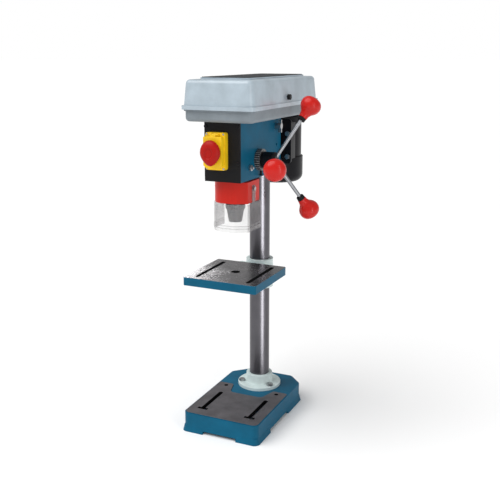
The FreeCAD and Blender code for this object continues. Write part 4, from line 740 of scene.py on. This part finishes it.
class DRILLPRESS_OT_drive(bpy.types.Operator):
    """Pulleys, belt, shafts and bearings under the lid"""
    bl_idname = "drillpress.drive"
    bl_label = "Belt drive"

    def execute(self, context):
        fine = sizes().fine_round
        for node in ("spindle_pulley", "motor_pulley", "pulley_sleeve", "pulley_nut", "motor_shaft"):
            soften(node, fine)
        soften("v_belt", fine)
        finish_node("sleeve_bearings", "bright_steel")
        return {"FINISHED"}


class DRILLPRESS_OT_case(bpy.types.Operator):
    """Belt tray, lid, the lid's top panel and its lock screw"""
    bl_idname = "drillpress.case"
    bl_label = "Belt case"

    def execute(self, context):
        sheet = sizes().sheet_round
        # painted shade: the tray is painted darker than the lid's grey
        soften("belt_tray", sheet * 1.4, "tray_paint")
        soften("belt_lid", sheet * 1.4)
        soften("lid_top_panel", sheet * 0.5)
        soften("lid_lock_screw", sizes().fine_round, "black_plastic")
        soften("lid_hinge_pins", sizes().fine_round * 0.5)
        return {"FINISHED"}


class DRILLPRESS_OT_hardware(bpy.types.Operator):
    """Bolts, screws, the table's lock handle and the cable gland"""
    bl_idname = "drillpress.hardware"
    bl_label = "Hardware"

    def execute(self, context):
        for node in ("flange_bolts", "tilt_bolt", "set_screws", "switch_screws", "motor_bolts",
                     "tension_lock_screw", "tray_screws", "cable_gland", "table_lock_handle"):
            soften(node, sizes().fine_round)
        soften("panel_screws", sizes().fine_round, "black_paint")
        return {"FINISHED"}


# ---- stage ----


class DRILLPRESS_OT_stage(bpy.types.Operator):
    """Pale floor, soft studio light and the camera"""
    bl_idname = "drillpress.stage"
    bl_label = "Stage"

    def execute(self, context):
        self.make_floor()
        self.make_light()
        self.make_camera()
        return {"FINISHED"}

    def make_floor(self):
        bpy.ops.mesh.primitive_plane_add(size=400, location=(0, 0, -0.0002))
        floor = bpy.context.object
        floor.name = "floor"
        finish, tree, shader = new_finish("Pale floor", (0.97, 0.97, 0.97), 0, 0.9)
        shader.inputs["Specular IOR Level"].default_value = 0.0
        floor.data.materials.append(finish)

    def make_light(self):
        world = bpy.data.worlds.new("Studio")
        bpy.context.scene.world = world
        world.use_nodes = True
        tree = world.node_tree
        surround = tree.nodes["Background"]
        surround.inputs["Color"].default_value = (1, 1, 1, 1)
        surround.inputs["Strength"].default_value = SKY
        backdrop = add(tree, "Background", {"Color": (1, 1, 1, 1), "Strength": 1.0})
        seen = add(tree, "LightPath").outputs["Is Camera Ray"]
        blend = add(tree, "MixShader")
        for socket, source in zip(blend.inputs, (seen, surround.outputs[0], backdrop.outputs[0])):
            tree.links.new(source, socket)
        tree.links.new(blend.outputs[0], tree.nodes["World Output"].inputs["Surface"])
        self.add_lamp("sky", "SUN", (-0.9, -1.0, 2.4), 2.4, angle=math.radians(58))
        self.add_lamp("strip", "AREA", (1.55, -1.05, 0.80), 7, shape="RECTANGLE", size=0.14, size_y=1.58)
        self.add_lamp("column_strip", "AREA", (0.265, -0.18, 0.36), 2.6, "column_ground",
                      shape="RECTANGLE", size=0.13, size_y=0.78)
        self.add_lamp("table_glow", "AREA", (-1.12, 1.38, 0.87), 3.0, "table_top_finished",
                      shape="RECTANGLE", size=0.3, size_y=0.25)

    def add_lamp(self, name, kind, place, power, only=None, **settings):
        """Adds a lamp that points at the machine, and lights one piece alone where only names it."""
        lamp = bpy.data.lights.new(name, kind)
        lamp.energy = power
        for key, setting in settings.items():
            setattr(lamp, key, setting)
        holder = bpy.data.objects.new(name, lamp)
        bpy.context.scene.collection.objects.link(holder)
        holder.location = place
        holder.visible_camera = False
        level = place[2] if kind == "AREA" and place[0] > 0 else AIM_HEIGHT
        towards = Vector((0, -0.05, level)) - Vector(place)
        holder.rotation_euler = towards.to_track_quat("-Z", "Y").to_euler()
        if only:
            lit = bpy.data.collections.new(name + "_lights")
            lit.objects.link(bpy.data.objects[only])
            holder.light_linking.receiver_collection = lit

    def make_camera(self):
        camera = bpy.data.cameras.new("camera")
        holder = bpy.data.objects.new("camera", camera)
        bpy.context.scene.collection.objects.link(holder)
        holder.location = CAMERA_PLACE
        holder.rotation_euler = (math.radians(90 - CAMERA_DIP), 0, math.radians(CAMERA_TURN))
        camera.sensor_width, camera.lens = 36, 56.26
        camera.shift_y = -0.0601
        camera.clip_start, camera.clip_end = 0.05, 100
        bpy.context.scene.camera = holder
        bpy.context.scene.view_settings.view_transform = "Standard"


PIECES = (
    DRILLPRESS_OT_castings, DRILLPRESS_OT_column, DRILLPRESS_OT_switch, DRILLPRESS_OT_spindle,
    DRILLPRESS_OT_guard, DRILLPRESS_OT_feed, DRILLPRESS_OT_motor, DRILLPRESS_OT_drive,
    DRILLPRESS_OT_case, DRILLPRESS_OT_hardware, DRILLPRESS_OT_stage,
)


class DRILLPRESS_PT_panel(bpy.types.Panel):
    """Lists the drill press's sizes, colours and pieces"""
    bl_idname = "DRILLPRESS_PT_panel"
    bl_label = "Drill Press"
    bl_space_type = "VIEW_3D"
    bl_region_type = "UI"
    bl_category = "Drill Press"

    def draw(self, context):
        for group in (context.scene.drill_press_sizes, context.scene.drill_press_colours):
            for name in group.__annotations__:
                self.layout.prop(group, name)
        for piece in PIECES:
            self.layout.operator(piece.bl_idname)


CLASSES = (DrillPressSizes, DrillPressColours, *PIECES, DRILLPRESS_PT_panel)


def register():
    for made in CLASSES:
        bpy.utils.register_class(made)
    bpy.types.Scene.drill_press_sizes = PointerProperty(type=DrillPressSizes)
    bpy.types.Scene.drill_press_colours = PointerProperty(type=DrillPressColours)


def unregister():
    del bpy.types.Scene.drill_press_colours
    del bpy.types.Scene.drill_press_sizes
    for made in reversed(CLASSES):
        bpy.utils.unregister_class(made)


def main():
    register()
    mix_finishes()
    for piece in PIECES:
        getattr(bpy.ops.drillpress, piece.bl_idname.split(".")[1])()


if __name__ == "__main__":
    main()
